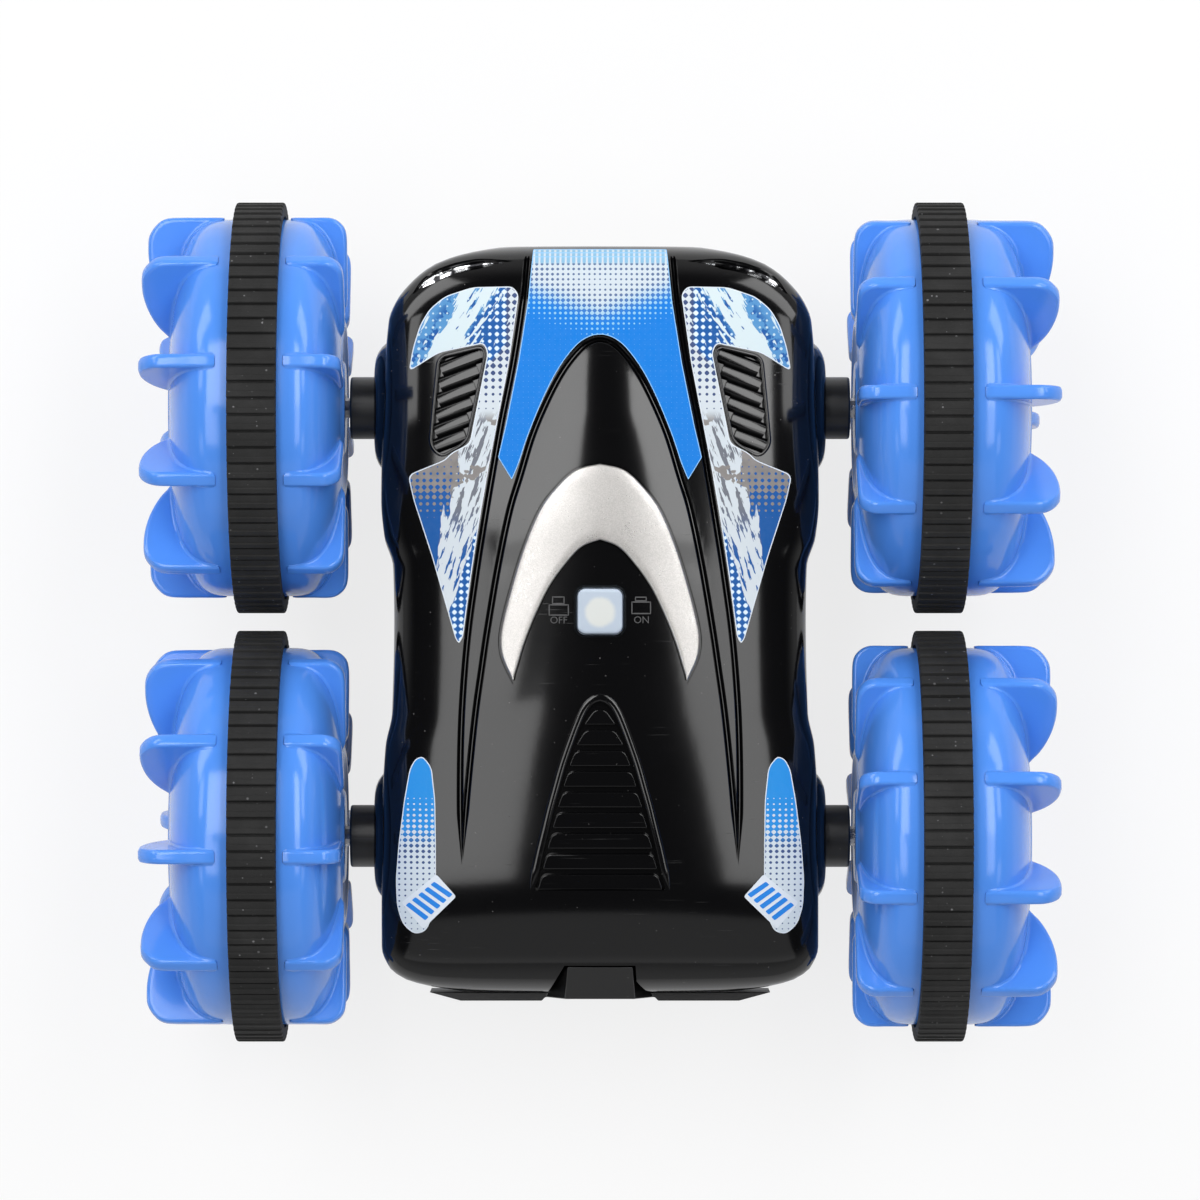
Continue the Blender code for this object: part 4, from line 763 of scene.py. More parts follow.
# -------- the shells
def carve(shell, models, tool, angle=30, operation="DIFFERENCE"):
    """Smooths a tool, keeps a model of its surface and cuts it from the shell or joins it on."""
    smooth(tool, angle)
    models.append(duplicate(tool, tool.name + "_model"))
    combine(shell, tool, operation)


def finish_shell(shell, models, replaced):
    borrow_normals(weld(shell, 0.004 * MM), models)
    for item in models:
        bpy.data.objects.remove(item)
    return finish_piece(shell, "body", "gloss_black", [replaced])


def rounded_plate(name, outline, low, edge, surface):
    """A plate under a surface, with rounded upper edges; surface gives its height at y."""
    levels = [(0.0, low), (0.0, -edge)]
    for k in range(1, 4):
        angle = math.pi / 2 * k / 3
        levels.append((-edge * (1 - math.cos(angle)), 0.0 - edge + edge * math.sin(angle)))
    return loft(name, [
        [(x, y, surface(y) + lift) for x, y in grow(outline, inwards)] for inwards, lift in levels
    ])


def side_boss(name, side, end, upward):
    """Half of a round boss on the hull's side; it tapers outwards like a shallow dome."""
    face = HULL_HALF_WIDTH + BOSS_PROUD
    steps = [
        (-5.9, 0), (-5.9, 14.2), (-4.6, 14.0), (-3.4, 13.6), (-2.3, 13.0), (-1.4, 12.2), (-0.7, 11.2),
        (-0.2, 10.0), (0, 8.9), (0, 0),
    ]
    boss = lathe(name, [(face + a * MM, r * MM) for a, r in steps], 96)
    boss.data.transform(Matrix.Translation((0, end * HALF_BASE, SEAM_Z)))
    seam = (0, 0, SEAM_Z + upward * settings("hull").seam / 2)
    edit_all(
        boss, bpy.ops.mesh.bisect, plane_co=seam, plane_no=(0, 0, upward), clear_inner=True, use_fill=True,
    )
    if side < 0:
        boss.data.transform(MIRROR)
    return tidy(boss)


def add_bosses(shell, upward, models):
    for name, side, end in CORNERS:
        carve(shell, models, side_boss(name + "_boss", side, end, upward), 35, "UNION")
    for side in (-1, 1):
        for end in (-1, 1):
            low, high = sorted((side * 36 * MM, side * 47 * MM))
            place = (end * HALF_BASE, SEAM_Z)
            combine(shell, cylinder("sleeve_hole", SLEEVE_RADIUS + 0.3 * MM, low, high, place, "X"))


def add_grooves(shell, models):
    hull = settings("hull")
    section = groove_section(hull.groove_width, hull.groove_depth, 0.16 * MM)
    for word, side in SIDES:
        path = smooth_line(in_metres(STRAKE_LINE, side), 1.0 * MM)
        path = [(path[0][0], path[0][1] + k * MM) for k in (4.0, 2.0, 1.0)] + path
        carve(shell, models, roof_bar(f"{word}_strake_cut", path, section, thin_end=10))
    left = in_metres(CANOPY_LINE)
    path = smooth_line(list(reversed(left)) + mirrored(left[1:]), 1.0 * MM)
    carve(shell, models, roof_bar("canopy_cut", path, section, thin_start=10, thin_end=10))


def louvre_arch():
    left = smooth_line(in_metres(LOUVRE_ARCH), 0.9 * MM)
    return left + mirrored(reversed(left[:-1]))


def arch_half_width(y, arch):
    """Half the width of the louvre's arch at a place along the car."""
    left = sorted((p for p in arch if p[0] <= 0), key=lambda p: p[1])
    return float(np.interp(y, [p[1] for p in left], [-p[0] for p in left]))


def louvre_slats(arch):
    """The grille's blades: trapezoids that widen towards the tail, all from one recipe."""
    grille = settings("grilles")
    base = min(p[1] for p in arch)
    slats = []
    for k in range(grille.slat_count + 1):
        rear = base + 0.1 * MM + k * grille.slat_pitch
        front = rear + grille.slat_depth
        wide = arch_half_width(rear, arch) - 0.5 * MM
        narrow = arch_half_width(front, arch) - (0.75 if front < -22 * MM else 1.2) * MM
        corners = [(-wide, rear), (wide, rear), (narrow, front), (-narrow, front)]
        sizes = (0.5 * MM, 0.5 * MM, 1.1 * MM, 1.1 * MM)
        outline = even_outline(rounded(corners, sizes, 4), 1.27 * MM)
        middle = (rear + front) / 2
        level = min(roof_z(0, middle), roof_z(wide, middle) + 0.12 * MM) - 0.1 * MM
        tilt = (roof_z(0, front) - roof_z(0, rear)) / (front - rear)
        slats.append(rounded_plate(
            f"slat_{k}", outline, -1.35 * MM, 0.22 * MM, lambda y: level + tilt * (y - middle),
        ))
    return slats


def even_outline(outline, step):
    """The outline with its long edges divided, so that a plate on it follows the roof."""
    result = []
    for here, after in zip(outline, outline[1:] + outline[:1]):
        pieces = max(1, math.ceil(math.dist(here, after) / step))
        for k in range(pieces):
            result.append(tuple(a + (b - a) * (k / pieces) for a, b in zip(here, after)))
    return result


def low_arc(half, rise, foot, steps):
    """Cross-section of a raised line: a low arc on a flat foot."""
    arc = [(half * math.cos(a), rise * math.sin(a) - 0.03 * MM) for a in np.linspace(0, math.pi, steps)]
    return arc + [(-half, -foot), (half, -foot)]


def add_louvre(shell, models):
    arch = louvre_arch()
    ridge = low_arc(0.75 * MM, 0.27 * MM, 0.6 * MM, 8)
    carve(shell, models, roof_bar("louvre_ridge", grow_path(arch, 0.85 * MM), ridge, 4, 4), 50, "UNION")
    carve(shell, models, roof_slab("louvre_recess", arch, -settings("grilles").recess, 6 * MM))
    for slat in louvre_slats(arch):
        crisp(slat, 40)
        models.append(duplicate(slat, slat.name + "_model"))
        combine(shell, slat, "UNION")


def grow_path(path, distance):
    """An open line moved sideways to its left by a distance."""
    result = []
    for i, (x, y) in enumerate(path):
        ahead = Vector(path[min(i + 1, len(path) - 1)]) - Vector(path[max(i - 1, 0)])
        ahead.normalize()
        result.append((x - ahead.y * distance, y + ahead.x * distance))
    return result


def add_vents(shell, models):
    """Fender vents: a raised rim round a bed with slanted, rounded ribs."""
    grille = settings("grilles")
    rim = low_arc(0.42 * MM, 0.22 * MM, 0.5 * MM, 7)
    half, foot = grille.rib_width / MM / 2, grille.rib_pitch / MM / 2 + 0.05
    right = [(half - 0.3, -0.12), (half - 0.12, -0.18), (half, -0.32), (foot, -1.1), (foot, -1.3)]
    rib = in_metres(mirrored(reversed(right)) + right)
    slope = math.tan(math.radians(20))
    for word, side in SIDES:
        outline = rounded(in_metres(VENT_OUTLINE, side), 1.6 * MM)
        path = even_outline(grow(outline, 0.3 * MM), 0.7 * MM)
        carve(shell, models, roof_loop(f"{word}_vent_rim", path, rim), 50, "UNION")
        carve(shell, models, roof_slab(f"{word}_vent_bed", outline, -1.0 * MM, 6 * MM))
        window = upright("vent_window", grow(outline, 0.13 * MM), SEAM_Z, SEAM_Z + 40 * MM)
        for k in range(grille.vent_count):
            level = 49.9 - k * grille.rib_pitch / MM
            outer, inner = -31.4 - 0.095 * (49.9 - level), -23.4 - 0.205 * (49.9 - level)
            path = [
                (-side * x * MM, (level + slope * (x - outer)) * MM)
                for x in np.linspace(outer, inner, max(6, round((inner - outer) / 0.6)))
            ]
            bar = roof_bar(f"vent_rib_{k}", path if side < 0 else path[::-1], rib)
            combine(bar, duplicate(window, "window"), "INTERSECT")
            carve(shell, models, tidy(bar, 0.005 * MM), 40, "UNION")
        bpy.data.objects.remove(window)


def add_lamp_slots(shell, models):
    """Slender recesses for the lamps over the nose."""
    left = in_metres([(-1.95, 0.9), (-1.6, 0.0), (-1.4, -0.2), (-1.1, -0.95)])
    section = left + mirrored(reversed(left))
    for word, side in SIDES:
        path = smooth_line(in_metres(LAMP_LINE, side), 0.8 * MM)
        carve(shell, models, roof_bar(f"{word}_lamp_slot", path, section, 6, 9))


def chevron_outline(distance):
    left, inner = (smooth_line(in_metres(line), 0.8 * MM) for line in (CHEVRON_OUTER, CHEVRON_INNER))
    outline = left + list(reversed(inner[1:])) + mirrored(inner[1:]) + mirrored(reversed(left[1:]))
    return grow(outline, distance)


# -------- wheels
def bowl_radius(along, depth):
    """Outer radius of a wheel's bowl at a distance from its middle plane."""
    lip, start = 37.6 * MM, 4.9 * MM
    if along <= start:
        return lip
    share = min(1.0, (along - start) / (depth - start))
    return lip * max(0.0, 1 - share**3.4) ** (1 / 3.4)


def bowl_line(depth, face_radius):
    """Points of the bowl from the lip to the flat face."""
    dense = []
    for t in np.linspace(0, 1, 400):
        along = 4.9 * MM + (depth - 4.9 * MM) * (1 - (1 - t) ** 2.2)
        radius = bowl_radius(along, depth)
        if radius < face_radius:
            break
        dense.append((along, radius))
    dense.append((depth, face_radius))
    return even_steps(dense, 1.1 * MM)


def measured(base, unit, steps):
    """Points (along, radius): along in units from a base, the radius in millimetres."""
    return [(base + along * unit, radius * MM) for along, radius in steps]


def bowl_profile(depth, outer):
    """Closed section of one half of a wheel: bowl, face, hub and inside wall."""
    wall, face = 1.7 * MM, 17.0 * MM
    line = bowl_line(depth, face)
    front = [(-0.05, 16.4), (-0.7, 15.6), (-0.9, 14.8), (-0.9, 10.2), (-0.7, 9.6), (-0.1, 8.9), (0, 8.6)]
    hub = [
        (0, 7.1), (-0.15, 6.7), (-0.5, 6.5), (-3.8, 6.3), (-4, 6.1), (-4, 2.4), (-6, 2.4), (-6, 8.1),
    ] if outer else [(0, 2.6), (-4, 2.6), (-4, 8.1)]
    back = [(-2.6, 8.1), (-2.6, 15)]
    inside = [p for p in reversed(grow_path(line, -wall)) if p[1] > 16.2 * MM and p[0] < depth - wall * 0.95]
    return (
        in_metres([(0.3, 37.6), (2.5, 37.6)]) + line + measured(depth, MM, front + hub + back)
        + inside[::2] + in_metres([(2.5, 35.9), (0.3, 35.9)])
    )


def fin_edge_points(depth, outer):
    """Free edge of a paddle from the lip to the hub side, as (along, radius)."""
    if outer:
        points = measured(0, MM, [(7.2, 37.2), (7.25, 37.75), (7.7, 38), (12, 38)])
        points += measured(depth, MM, [(-1.5, 38), (1.3, 37.75), (3.1, 36.6)])
        points += measured(depth, FIN_TIP - depth, [
            (0.95, 34.4), (1, 31.9), (0.97, 29.2), (0.84, 26.2), (0.62, 23.4), (0.36, 21.2), (0.1, 19.6),
        ])
        points += measured(depth, MM, [(-0.3, 18.6)])
    else:
        points = measured(0, MM, [(6, 37.2), (6.05, 37.75), (6.5, 38), (10, 38)])
        points += measured(INNER_FIN_TIP, MM, [
            (-3.6, 38), (-1.9, 37.4), (-0.6, 36.1), (-0.1, 34.4), (0, 31.5), (0, 27), (0, 22.5), (-0.15, 20.5),
        ])
        points += measured(depth, MM, [(-0.4, 19.2)])
    return smooth_line(points, 0.75 * MM)


def fin(name, depth, outer):
    """A paddle: a thin blade with rounded free edges that flares out where it meets the bowl."""
    wheel = settings("wheels")
    half, edge, flare = wheel.fin_thickness / 2, wheel.fin_round, wheel.fillet
    rim = fin_edge_points(depth, outer)
    dense = [(a, bowl_radius(a, depth)) for a in np.linspace(rim[0][0], depth - 1e-6, 400)]
    dense = np.array(dense + [(depth, 17.0 * MM)])
    dense = dense[dense[:, 1] > rim[-1][1] * 0.98]
    lengths = np.concatenate([[0], np.cumsum(np.linalg.norm(np.diff(dense, axis=0), axis=1))])
    foot = [
        (np.interp(m, lengths, dense[:, 0]), np.interp(m, lengths, dense[:, 1]))
        for m in np.linspace(0, lengths[-1], len(rim))
    ]
    rim_line = np.array(even_steps(rim, 0.15 * MM))
    rows = 14

    def distance_to(line, point):
        return float(np.min(np.hypot(line[:, 0] - point[0], line[:, 1] - point[1])))

    points = []
    for base, tip in zip(map(Vector, foot), map(Vector, rim)):
        inward = Vector((-0.35, -0.94)) if base.x < depth * 0.8 else Vector((-0.9, -0.3))
        row = [(base + inward * 0.9 * MM, half + flare)]
        for k in range(rows + 1):
            t = k / rows
            t = t + 0.12 * math.sin(2 * math.pi * t) * -0.6
            here = base.lerp(tip, t)
            rim_gap = distance_to(rim_line, here) if k < rows else 0.0
            bowl_gap = distance_to(dense, here)
            thick = half
            if rim_gap < edge:
                thick = half - edge + math.sqrt(max(0.0, edge**2 - (edge - rim_gap) ** 2))
            if bowl_gap < flare:
                swell = 1 - math.sqrt(max(0.0, 1 - (1 - bowl_gap / flare) ** 2))
                thick += flare * swell * min(1.0, rim_gap / edge)
            row.append((here, thick))
        points.append(row)
    bm = bmesh.new()
    sheets = [[[bm.verts.new((p.x, sign * t, p.y)) for p, t in row] for row in points] for sign in (-1, 1)]
    for sheet in sheets:
        for row, after in zip(sheet, sheet[1:]):
            for k in range(rows + 1):
                bm.faces.new((row[k], row[k + 1], after[k + 1], after[k]))
    one, two = (
        [row[0] for row in sheet] + sheet[-1][1:] + [row[-1] for row in reversed(sheet[:-1])]
        + sheet[0][-2:0:-1] for sheet in sheets
    )
    for k in range(len(one)):
        j = (k + 1) % len(one)
        bm.faces.new((one[k], one[j], two[j], two[k]))
    bmesh.ops.recalc_face_normals(bm, faces=bm.faces)
    return from_bmesh(name, bm)


def wheel_half(name, depth, outer):
    """One half of a wheel about its own middle: a spun bowl with its ring of paddles joined on."""
    bowl = smooth(lathe(name, bowl_profile(depth, outer), 120), 30)
    blade = smooth(fin(name + "_fin", depth, outer), 40)
    blades = join(ring_of(blade, settings("wheels").fin_count), name + "_fins")
    models = [duplicate(bowl, name + "_bowl_model"), duplicate(blades, name + "_fins_model")]
    combine(bowl, blades, "UNION")
    borrow_normals(bowl, models)
    for model in models:
        bpy.data.objects.remove(model)
    return bowl


def ring_of(piece, count):
    """Copies of a piece turned evenly about the X axis; the piece itself is used up."""
    turns = (Matrix.Rotation(2 * math.pi * k / count, 4, "X") for k in range(count))
    copies = [duplicate(piece, f"{piece.name}_{k}", turn) for k, turn in enumerate(turns)]
    bpy.data.objects.remove(piece)
    return copies


def tread_ring(name):
    """Rubber tread: one rib is laid out and copied round the wheel, then its seams are merged."""
    wheel = settings("wheels")
    pitch = 2 * math.pi / wheel.rib_count
    groove = wheel.rib_groove / WHEEL_RADIUS
    low = WHEEL_RADIUS - 2.75 * MM
    half = TREAD_HALF_WIDTH
    marks = [
        (0, 0.0), (groove * 0.7, 0.0), (groove * 0.95, 0.60), (groove * 1.15, 0.64), (0.60 * pitch, 0.64),
        (0.63 * pitch, 0.92), (0.66 * pitch, 1.0), (0.93 * pitch, 1.0), (0.97 * pitch, 0.88), (pitch, 0.0),
    ]
    curve = in_metres([(0, -0.9), (0.03, -0.4), (0.14, -0.12), (0.42, 0)])
    columns, rows = 2 * len(curve) + 4, len(marks) - 1

    def section(share):
        top = WHEEL_RADIUS - wheel.rib_height * (1 - share)
        left = [(-half, low)] + [(a - half, top + b) for a, b in curve]
        return left + [(0, top)] + mirrored(reversed(left)) + [(0, low)]

    def place(u, v):
        angle, share = marks[round((v + 1) / 2 * rows)]
        a, r = section(share)[round((u + 1) / 2 * columns) % columns]
        return (a, -r * math.sin(angle - pitch / 2), r * math.cos(angle - pitch / 2))

    rib = surface_grid(name + "_rib", columns, rows, place)
    return smooth(tidy(join(ring_of(rib, wheel.rib_count), name), 0.01 * MM), 30)


def wheel_screw(name):
    """Countersunk screw in the hub's well, with a cross in its head."""
    head = cylinder(name, 4.0 * MM, 13.4 * MM, 15.4 * MM, (0, 0), "X", 48)
    bevel_end(head, OUT, 0.7 * MM, 4)
    combine(head, cylinder(name + "_shank", 1.2 * MM, 8.6 * MM, 13.8 * MM, (0, 0), "X", 24), "UNION")
    for wide, tall in ((3.6, 0.75), (0.75, 3.6)):
        low, high = (14.4, -wide / 2, -tall / 2), (16.0, wide / 2, tall / 2)
        combine(head, box_between("cross", Vector(low) * MM, Vector(high) * MM))
    return smooth(head, 30)


def place_wheel(piece, corner, side, end, name, slot, replaced, faces_out=True):
    """A copy of a wheel piece in its wheel's place, turned by that wheel's phase."""
    matrix = Matrix.Translation((side * HALF_TRACK, end * HALF_BASE, SEAM_Z))
    matrix = matrix @ Matrix.Rotation(math.radians(FIN_PHASE[corner]), 4, "X")
    if side < 0 and faces_out:
        matrix = matrix @ Matrix.Rotation(math.pi, 4, "Z")
    copy = duplicate(piece, f"{corner}_{name}", matrix)
    return finish_piece(copy, f"{corner}_wheel", slot, [f"{corner}_{replaced}"])


def finish_piece(obj, body, slot, replaced=(), look=None):
    """Gives a piece its material, its body and its slot, and names what it stands for."""
    obj.data.materials.clear()
    obj.data.materials.append(material(look or slot))
    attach(obj, body)
    if replaced:
        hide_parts(*replaced)
    return obj


# -------- the roof's last openings
def rounded_square(half, corner, centre=(0.0, 0.0), steps=6):
    points = []
    for k, (sign_x, sign_y) in enumerate(((1, 1), (-1, 1), (-1, -1), (1, -1))):
        for i in range(steps + 1):
            a = math.pi / 2 * (k + i / steps)
            points.append((
                centre[0] + sign_x * (half - corner) + corner * math.cos(a),
                centre[1] + sign_y * (half - corner) + corner * math.sin(a),
            ))
    return points


def button_middle():
    return (0.0, (BUTTON_LOW.y + BUTTON_HIGH.y) / 2)


def add_button_hole(shell, models):
    """Opening for the button with a chamfered lip."""
    centre = button_middle()
    combine(shell, roof_slab("button_lip", rounded_square(5.15 * MM, 2.3 * MM, centre), -0.3 * MM, 4 * MM))
    hole = rounded_square(4.7 * MM, 1.9 * MM, centre)
    combine(shell, upright("button_hole", hole, SEAM_Z + 15 * MM, SEAM_Z + 32 * MM))


def add_chevron_bed(shell, models):
    """Shallow bed round the chevron, which leaves a thin dark line beside it."""
    carve(shell, models, roof_slab("chevron_bed", chevron_outline(0.38 * MM), -0.5 * MM, 5 * MM))


def eight_corners(name, low_ring, high_ring):
    """A cube primitive whose corners are put on two rings of four points."""
    clear_selection()
    bpy.ops.mesh.primitive_cube_add(size=2)
    obj = named(bpy.context.object, name)
    order = ((1, -1), (1, 1), (-1, 1), (-1, -1))
    for vert in obj.data.vertices:
        k = order.index((round(vert.co.x), round(vert.co.y)))
        vert.co = (high_ring if vert.co.z > 0 else low_ring)[k]
    return tidy(obj)


def tail_hump(name, margin, rise):
    """Wedge in the middle of the tail, with cheeks that lean in."""
    tail = HULL_MIDDLE - HULL_HALF_LENGTH - 0.3 * MM
    nose = tail + 5.6 * MM + margin
    low = SEAM_Z + 3.9 * MM
    rings = []
    for wide, narrow, level, slope in (
        (10.9 * MM, 7.0 * MM, low - margin, 0), (6.9 * MM, 6.4 * MM, low - margin + (rise + margin), 5.0 * MM),
    ):
        wide, narrow, back = wide + margin, narrow + margin, tail - 1.0 * MM
        rings.append([
            (wide, back, level - slope), (narrow, nose, level), (-narrow, nose, level), (-wide, back, level - slope),
        ])
    return eight_corners(name, *rings)


def add_tail_notch(shell, models):
    combine(shell, tail_hump("tail_notch", 0.3 * MM, ROOF_HEIGHT))


def make_roof():
    """Models the roof shell with its grooves, grilles and openings"""
    shell, model = hull_shell("roof_shell", 1)
    models = [model]
    add_bosses(shell, 1, models)
    for step in (
        add_grooves, add_louvre, add_vents, add_lamp_slots, add_button_hole, add_chevron_bed, add_tail_notch,
    ):
        step(shell, models)
    finish_shell(shell, models, "top_shell")


# -------- the keel
def box_between(name, low, high):
    clear_selection()
    low, high = Vector(low), Vector(high)
    bpy.ops.mesh.primitive_cube_add(size=1, location=(low + high) / 2, scale=high - low)
    return settle(named(bpy.context.object, name))


def door_outline(margin):
    """Rectangle of the battery door with a round tab towards the tail for its screw."""
    low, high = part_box("battery_door")
    screw_low, screw_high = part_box("battery_door_screw")
    screw_y = (screw_low.y + screw_high.y) / 2
    half_x, half_y = high.x - margin, high.y - margin
    tab = screw_y - low.y - margin
    corner = 1.2 * MM
    points = rounded([(half_x, -half_y), (half_x, half_y), (-half_x, half_y), (-half_x, -half_y)], corner)
    for k in range(17):
        a = math.pi + math.pi * k / 16
        points.append((tab * math.cos(a), screw_y + tab * math.sin(a)))
    return points, screw_y


def body_screw_places():
    for corner, side, end in CORNERS:
        low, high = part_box(corner + "_body_screw")
        yield corner + "_body_screw", (low + high) / 2, low


def make_keel():
    """Models the keel shell with its battery well and screw posts"""
    shell, model = hull_shell("keel_shell", -1)
    models = [model]
    add_bosses(shell, -1, models)
    floor, below = KEEL_LOW.z + 0.9 * MM, KEEL_LOW.z - 3 * MM
    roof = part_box("battery_door")[1].z
    outline, screw_y = door_outline(-0.3 * MM)
    middle = (0, screw_y)

    def chamber(name, half_x, half_y, low, high):
        return box_between(name, (-half_x * MM, -half_y * MM, low), (half_x * MM, half_y * MM, high))

    combine(shell, chamber("battery_well", 18.4, 28.9, floor, SEAM_Z - 9.5 * MM), "UNION")
    combine(shell, cylinder("tab_boss", 7.1 * MM, floor, roof + 1.7 * MM, middle), "UNION")
    combine(shell, cylinder("door_screw_boss", 2.8 * MM, floor, roof + 8.5 * MM, middle, sides=32), "UNION")
    combine(shell, upright("door_recess", outline, below, roof + 0.3 * MM))
    combine(shell, chamber("seal_recess", 17, 27.5, below, roof + 1.6 * MM))
    combine(shell, chamber("battery_cavity", 14.8, 25.3, below, SEAM_Z - 10.9 * MM))
    combine(shell, cylinder("door_pilot", 1.4 * MM, below, roof + 7.4 * MM, middle, sides=24))
    for name, place, low in body_screw_places():
        centre, foot = (place.x, place.y), keel_z(place.x, place.y) + 0.9 * MM
        combine(shell, cylinder("screw_post", 3.9 * MM, foot, SEAM_Z - 0.3 * MM, centre, sides=48), "UNION")
        combine(shell, cylinder("screw_sink", 2.8 * MM, below, SEAM_Z - 5 * MM, centre, sides=48))
        combine(shell, cylinder("screw_way", 1.6 * MM, below, SEAM_Z, centre, sides=24))
    finish_shell(shell, models, "bottom_shell")


def make_door():
    """Models the battery door with its field, grip ribs and sunk screw hole"""
    low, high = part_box("battery_door")
    outline, screw_y = door_outline(0.0)
    door = upright("battery_door_plate", outline, low.z, high.z)
    bevel_end(door, DOWN, 0.35 * MM, 3)
    field = rounded(in_metres([(-13, -24), (13, -24), (13, 16), (-13, 16)]), 2 * MM)
    combine(door, upright("door_field", field, low.z - MM, low.z + 0.4 * MM))
    for k in range(5):
        y = 18.6 * MM + k * 1.5 * MM
        combine(door, box_between("grip", (-8 * MM, y, low.z - MM), (8 * MM, y + 0.7 * MM, low.z + 0.5 * MM)))
    combine(door, cylinder("door_sink", 2.4 * MM, low.z - MM, low.z + 1.4 * MM, (0, screw_y), sides=48))
    combine(door, cylinder("door_way", 1.4 * MM, low.z - MM, high.z + MM, (0, screw_y), sides=32))
    round_edges(door, 0.08 * MM, 2, 50)
    finish_piece(crisp(door, 35), "body", "gloss_black", ["battery_door"])


def pan_screw(name, head, height, shank, length):
    """Pan-head screw that stands on its head: the shoulder lies at zero, the shank rises."""
    screw = cylinder(name, head, -height, 0.0, sides=48)
    bevel_end(screw, DOWN, min(0.7 * MM, 0.6 * height), 4)
    combine(screw, cylinder(name + "_shank", shank, -0.3 * height, length, sides=24), "UNION")
    long, short = head * 1.1, head * 0.24
    for x, y in ((short, long), (long, short)):
        combine(screw, box_between("cross", (-x / 2, -y / 2, -2 * height), (x / 2, y / 2, -0.45 * height)))
    return smooth(screw, 30)


def make_screws():
    """Models the screws in the keel"""
    screw = pan_screw("body_screw", 2.35 * MM, 1.7 * MM, 1.25 * MM, 11.7 * MM)
    for k, (name, middle, low) in enumerate(body_screw_places()):
        place = Matrix.Translation((middle.x, middle.y, low.z + 1.7 * MM)) @ Matrix.Rotation(0.6 + 1.1 * k, 4, "Z")
        finish_piece(duplicate(screw, name + "_steel", place), "body", "steel", [name])
    bpy.data.objects.remove(screw)
    low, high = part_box("battery_door_screw")
    small = pan_screw("door_screw", 1.95 * MM, 1.1 * MM, 1.05 * MM, 7.8 * MM)
    small.data.transform(Matrix.Translation((0, (low.y + high.y) / 2, low.z + 1.1 * MM)))
    finish_piece(small, "body", "steel", ["battery_door_screw"])


# -------- what lies on the roof
def make_sticker(name, corners, radius, look, border=0.2 * MM, edge="sticker_edge"):
    """A sticker: its pale edge underneath and the print, slightly smaller, on top."""
    lift = settings("hull").sticker_lift
    film = roof_slab(name + "_edge", rounded(corners, radius, 4), -0.06 * MM, lift)
    print_area = rounded(grow(corners, -border), radius, 4)
    face = roof_slab(name + "_print", print_area, lift - 0.04 * MM, lift + 0.025 * MM)
    finish_piece(smooth(film, 30), "body", "blue_plastic", look=edge)
    finish_piece(smooth(face, 30), "body", "blue_plastic", look=look)


def make_stickers():
    """Lays the stickers on the roof"""
    left, arch = in_metres(NOSE_STICKER), in_metres(NOSE_ARCH)
    arch = smooth_line(arch + mirrored(reversed(arch[:-1])), 0.9 * MM)
    outline = left + arch + mirrored(reversed(left))
    make_sticker("nose_sticker", outline, 0.3 * MM, "nose_print", 0.16 * MM, "nose_edge")
    for word, side in SIDES:
        for name, outline in (("fender", FENDER_STICKER), ("tail", TAIL_STICKER)):
            make_sticker(f"{word}_{name}_sticker", in_metres(outline, side), 1.3 * MM, name + "_print")
        make_flash(word, side)


def make_flash(word, side):
    """Slanted bars on a small plate on the tail corner, a generic design."""
    plate = in_metres(FLASH_PLATE, side)
    lift = settings("hull").sticker_lift
    base = roof_slab(f"{word}_flash_plate", rounded(plate, 0.5 * MM, 3), lift - 0.03 * MM, lift + 0.07 * MM)
    finish_piece(smooth(base, 30), "body", "blue_plastic", look="sticker_edge")
    a, b, c, d = (Vector(p) for p in plate)
    bars = []
    for k in range(5):
        low, high = (k + 0.42) / 5.6, (k + 1.02) / 5.6
        spots = ((low - 0.04, 0.14), (low + 0.08, 0.86), (high + 0.08, 0.86), (high - 0.04, 0.14))
        outline = rounded([tuple(a.lerp(b, t).lerp(d.lerp(c, t), u)) for t, u in spots], 0.25 * MM, 3)
        bars.append(roof_slab(f"{word}_flash_{k}", outline, lift + 0.03 * MM, lift + 0.10 * MM, 0.9 * MM))
    finish_piece(smooth(join(bars, f"{word}_flash"), 30), "body", "blue_plastic", look="flash_print")


def make_chevron():
    """Models the raised silver chevron, a strip with a rounded edge on both sides"""
    outer, inner = (smooth_line(in_metres(line), 0.1 * MM) for line in (CHEVRON_OUTER, CHEVRON_INNER))
    steps = 56
    outer = even_steps(outer, 1e-9 + line_length(outer) / steps)[:steps + 1]
    inner = even_steps(inner, line_length(inner) / steps)[:steps + 1]
    pairs = list(zip(outer, inner))
    pairs = list(reversed(pairs)) + [((-o[0], o[1]), (-i[0], i[1])) for o, i in pairs[1:]]
    rise, edge, thinnest = 0.85 * MM, 0.42 * MM, 0.35 * MM
    rings = []
    for o, i in pairs:
        o, i = Vector(o), Vector(i)
        wide = (i - o).length
        if wide < thinnest:
            i = o + (i - o).normalized() * thinnest if wide > 1e-7 else o + Vector((0, -thinnest))
            wide = thinnest
        round_off = min(edge, wide * 0.45)
        marks = [(0.0, -0.42 * MM), (0.0, rise - round_off)]
        for k in range(1, 5):
            a = math.pi / 2 * k / 4
            marks.append((round_off * (1 - math.cos(a)), rise - round_off + round_off * math.sin(a)))
        marks += [(round_off + (wide - 2 * round_off) * k / 7, rise) for k in range(1, 7)]
        marks += [(wide - across, up) for across, up in reversed(marks[:6])]
        points = [(o.lerp(i, across / wide), up) for across, up in marks]
        rings.append([(p.x, p.y, roof_z(p.x, p.y) + up) for p, up in points])
    finish_piece(smooth(loft("silver_chevron", rings), 50), "body", "silver_paint", ["windscreen_trim"])


def line_length(points):
    return sum(math.dist(a, b) for a, b in zip(points, points[1:]))


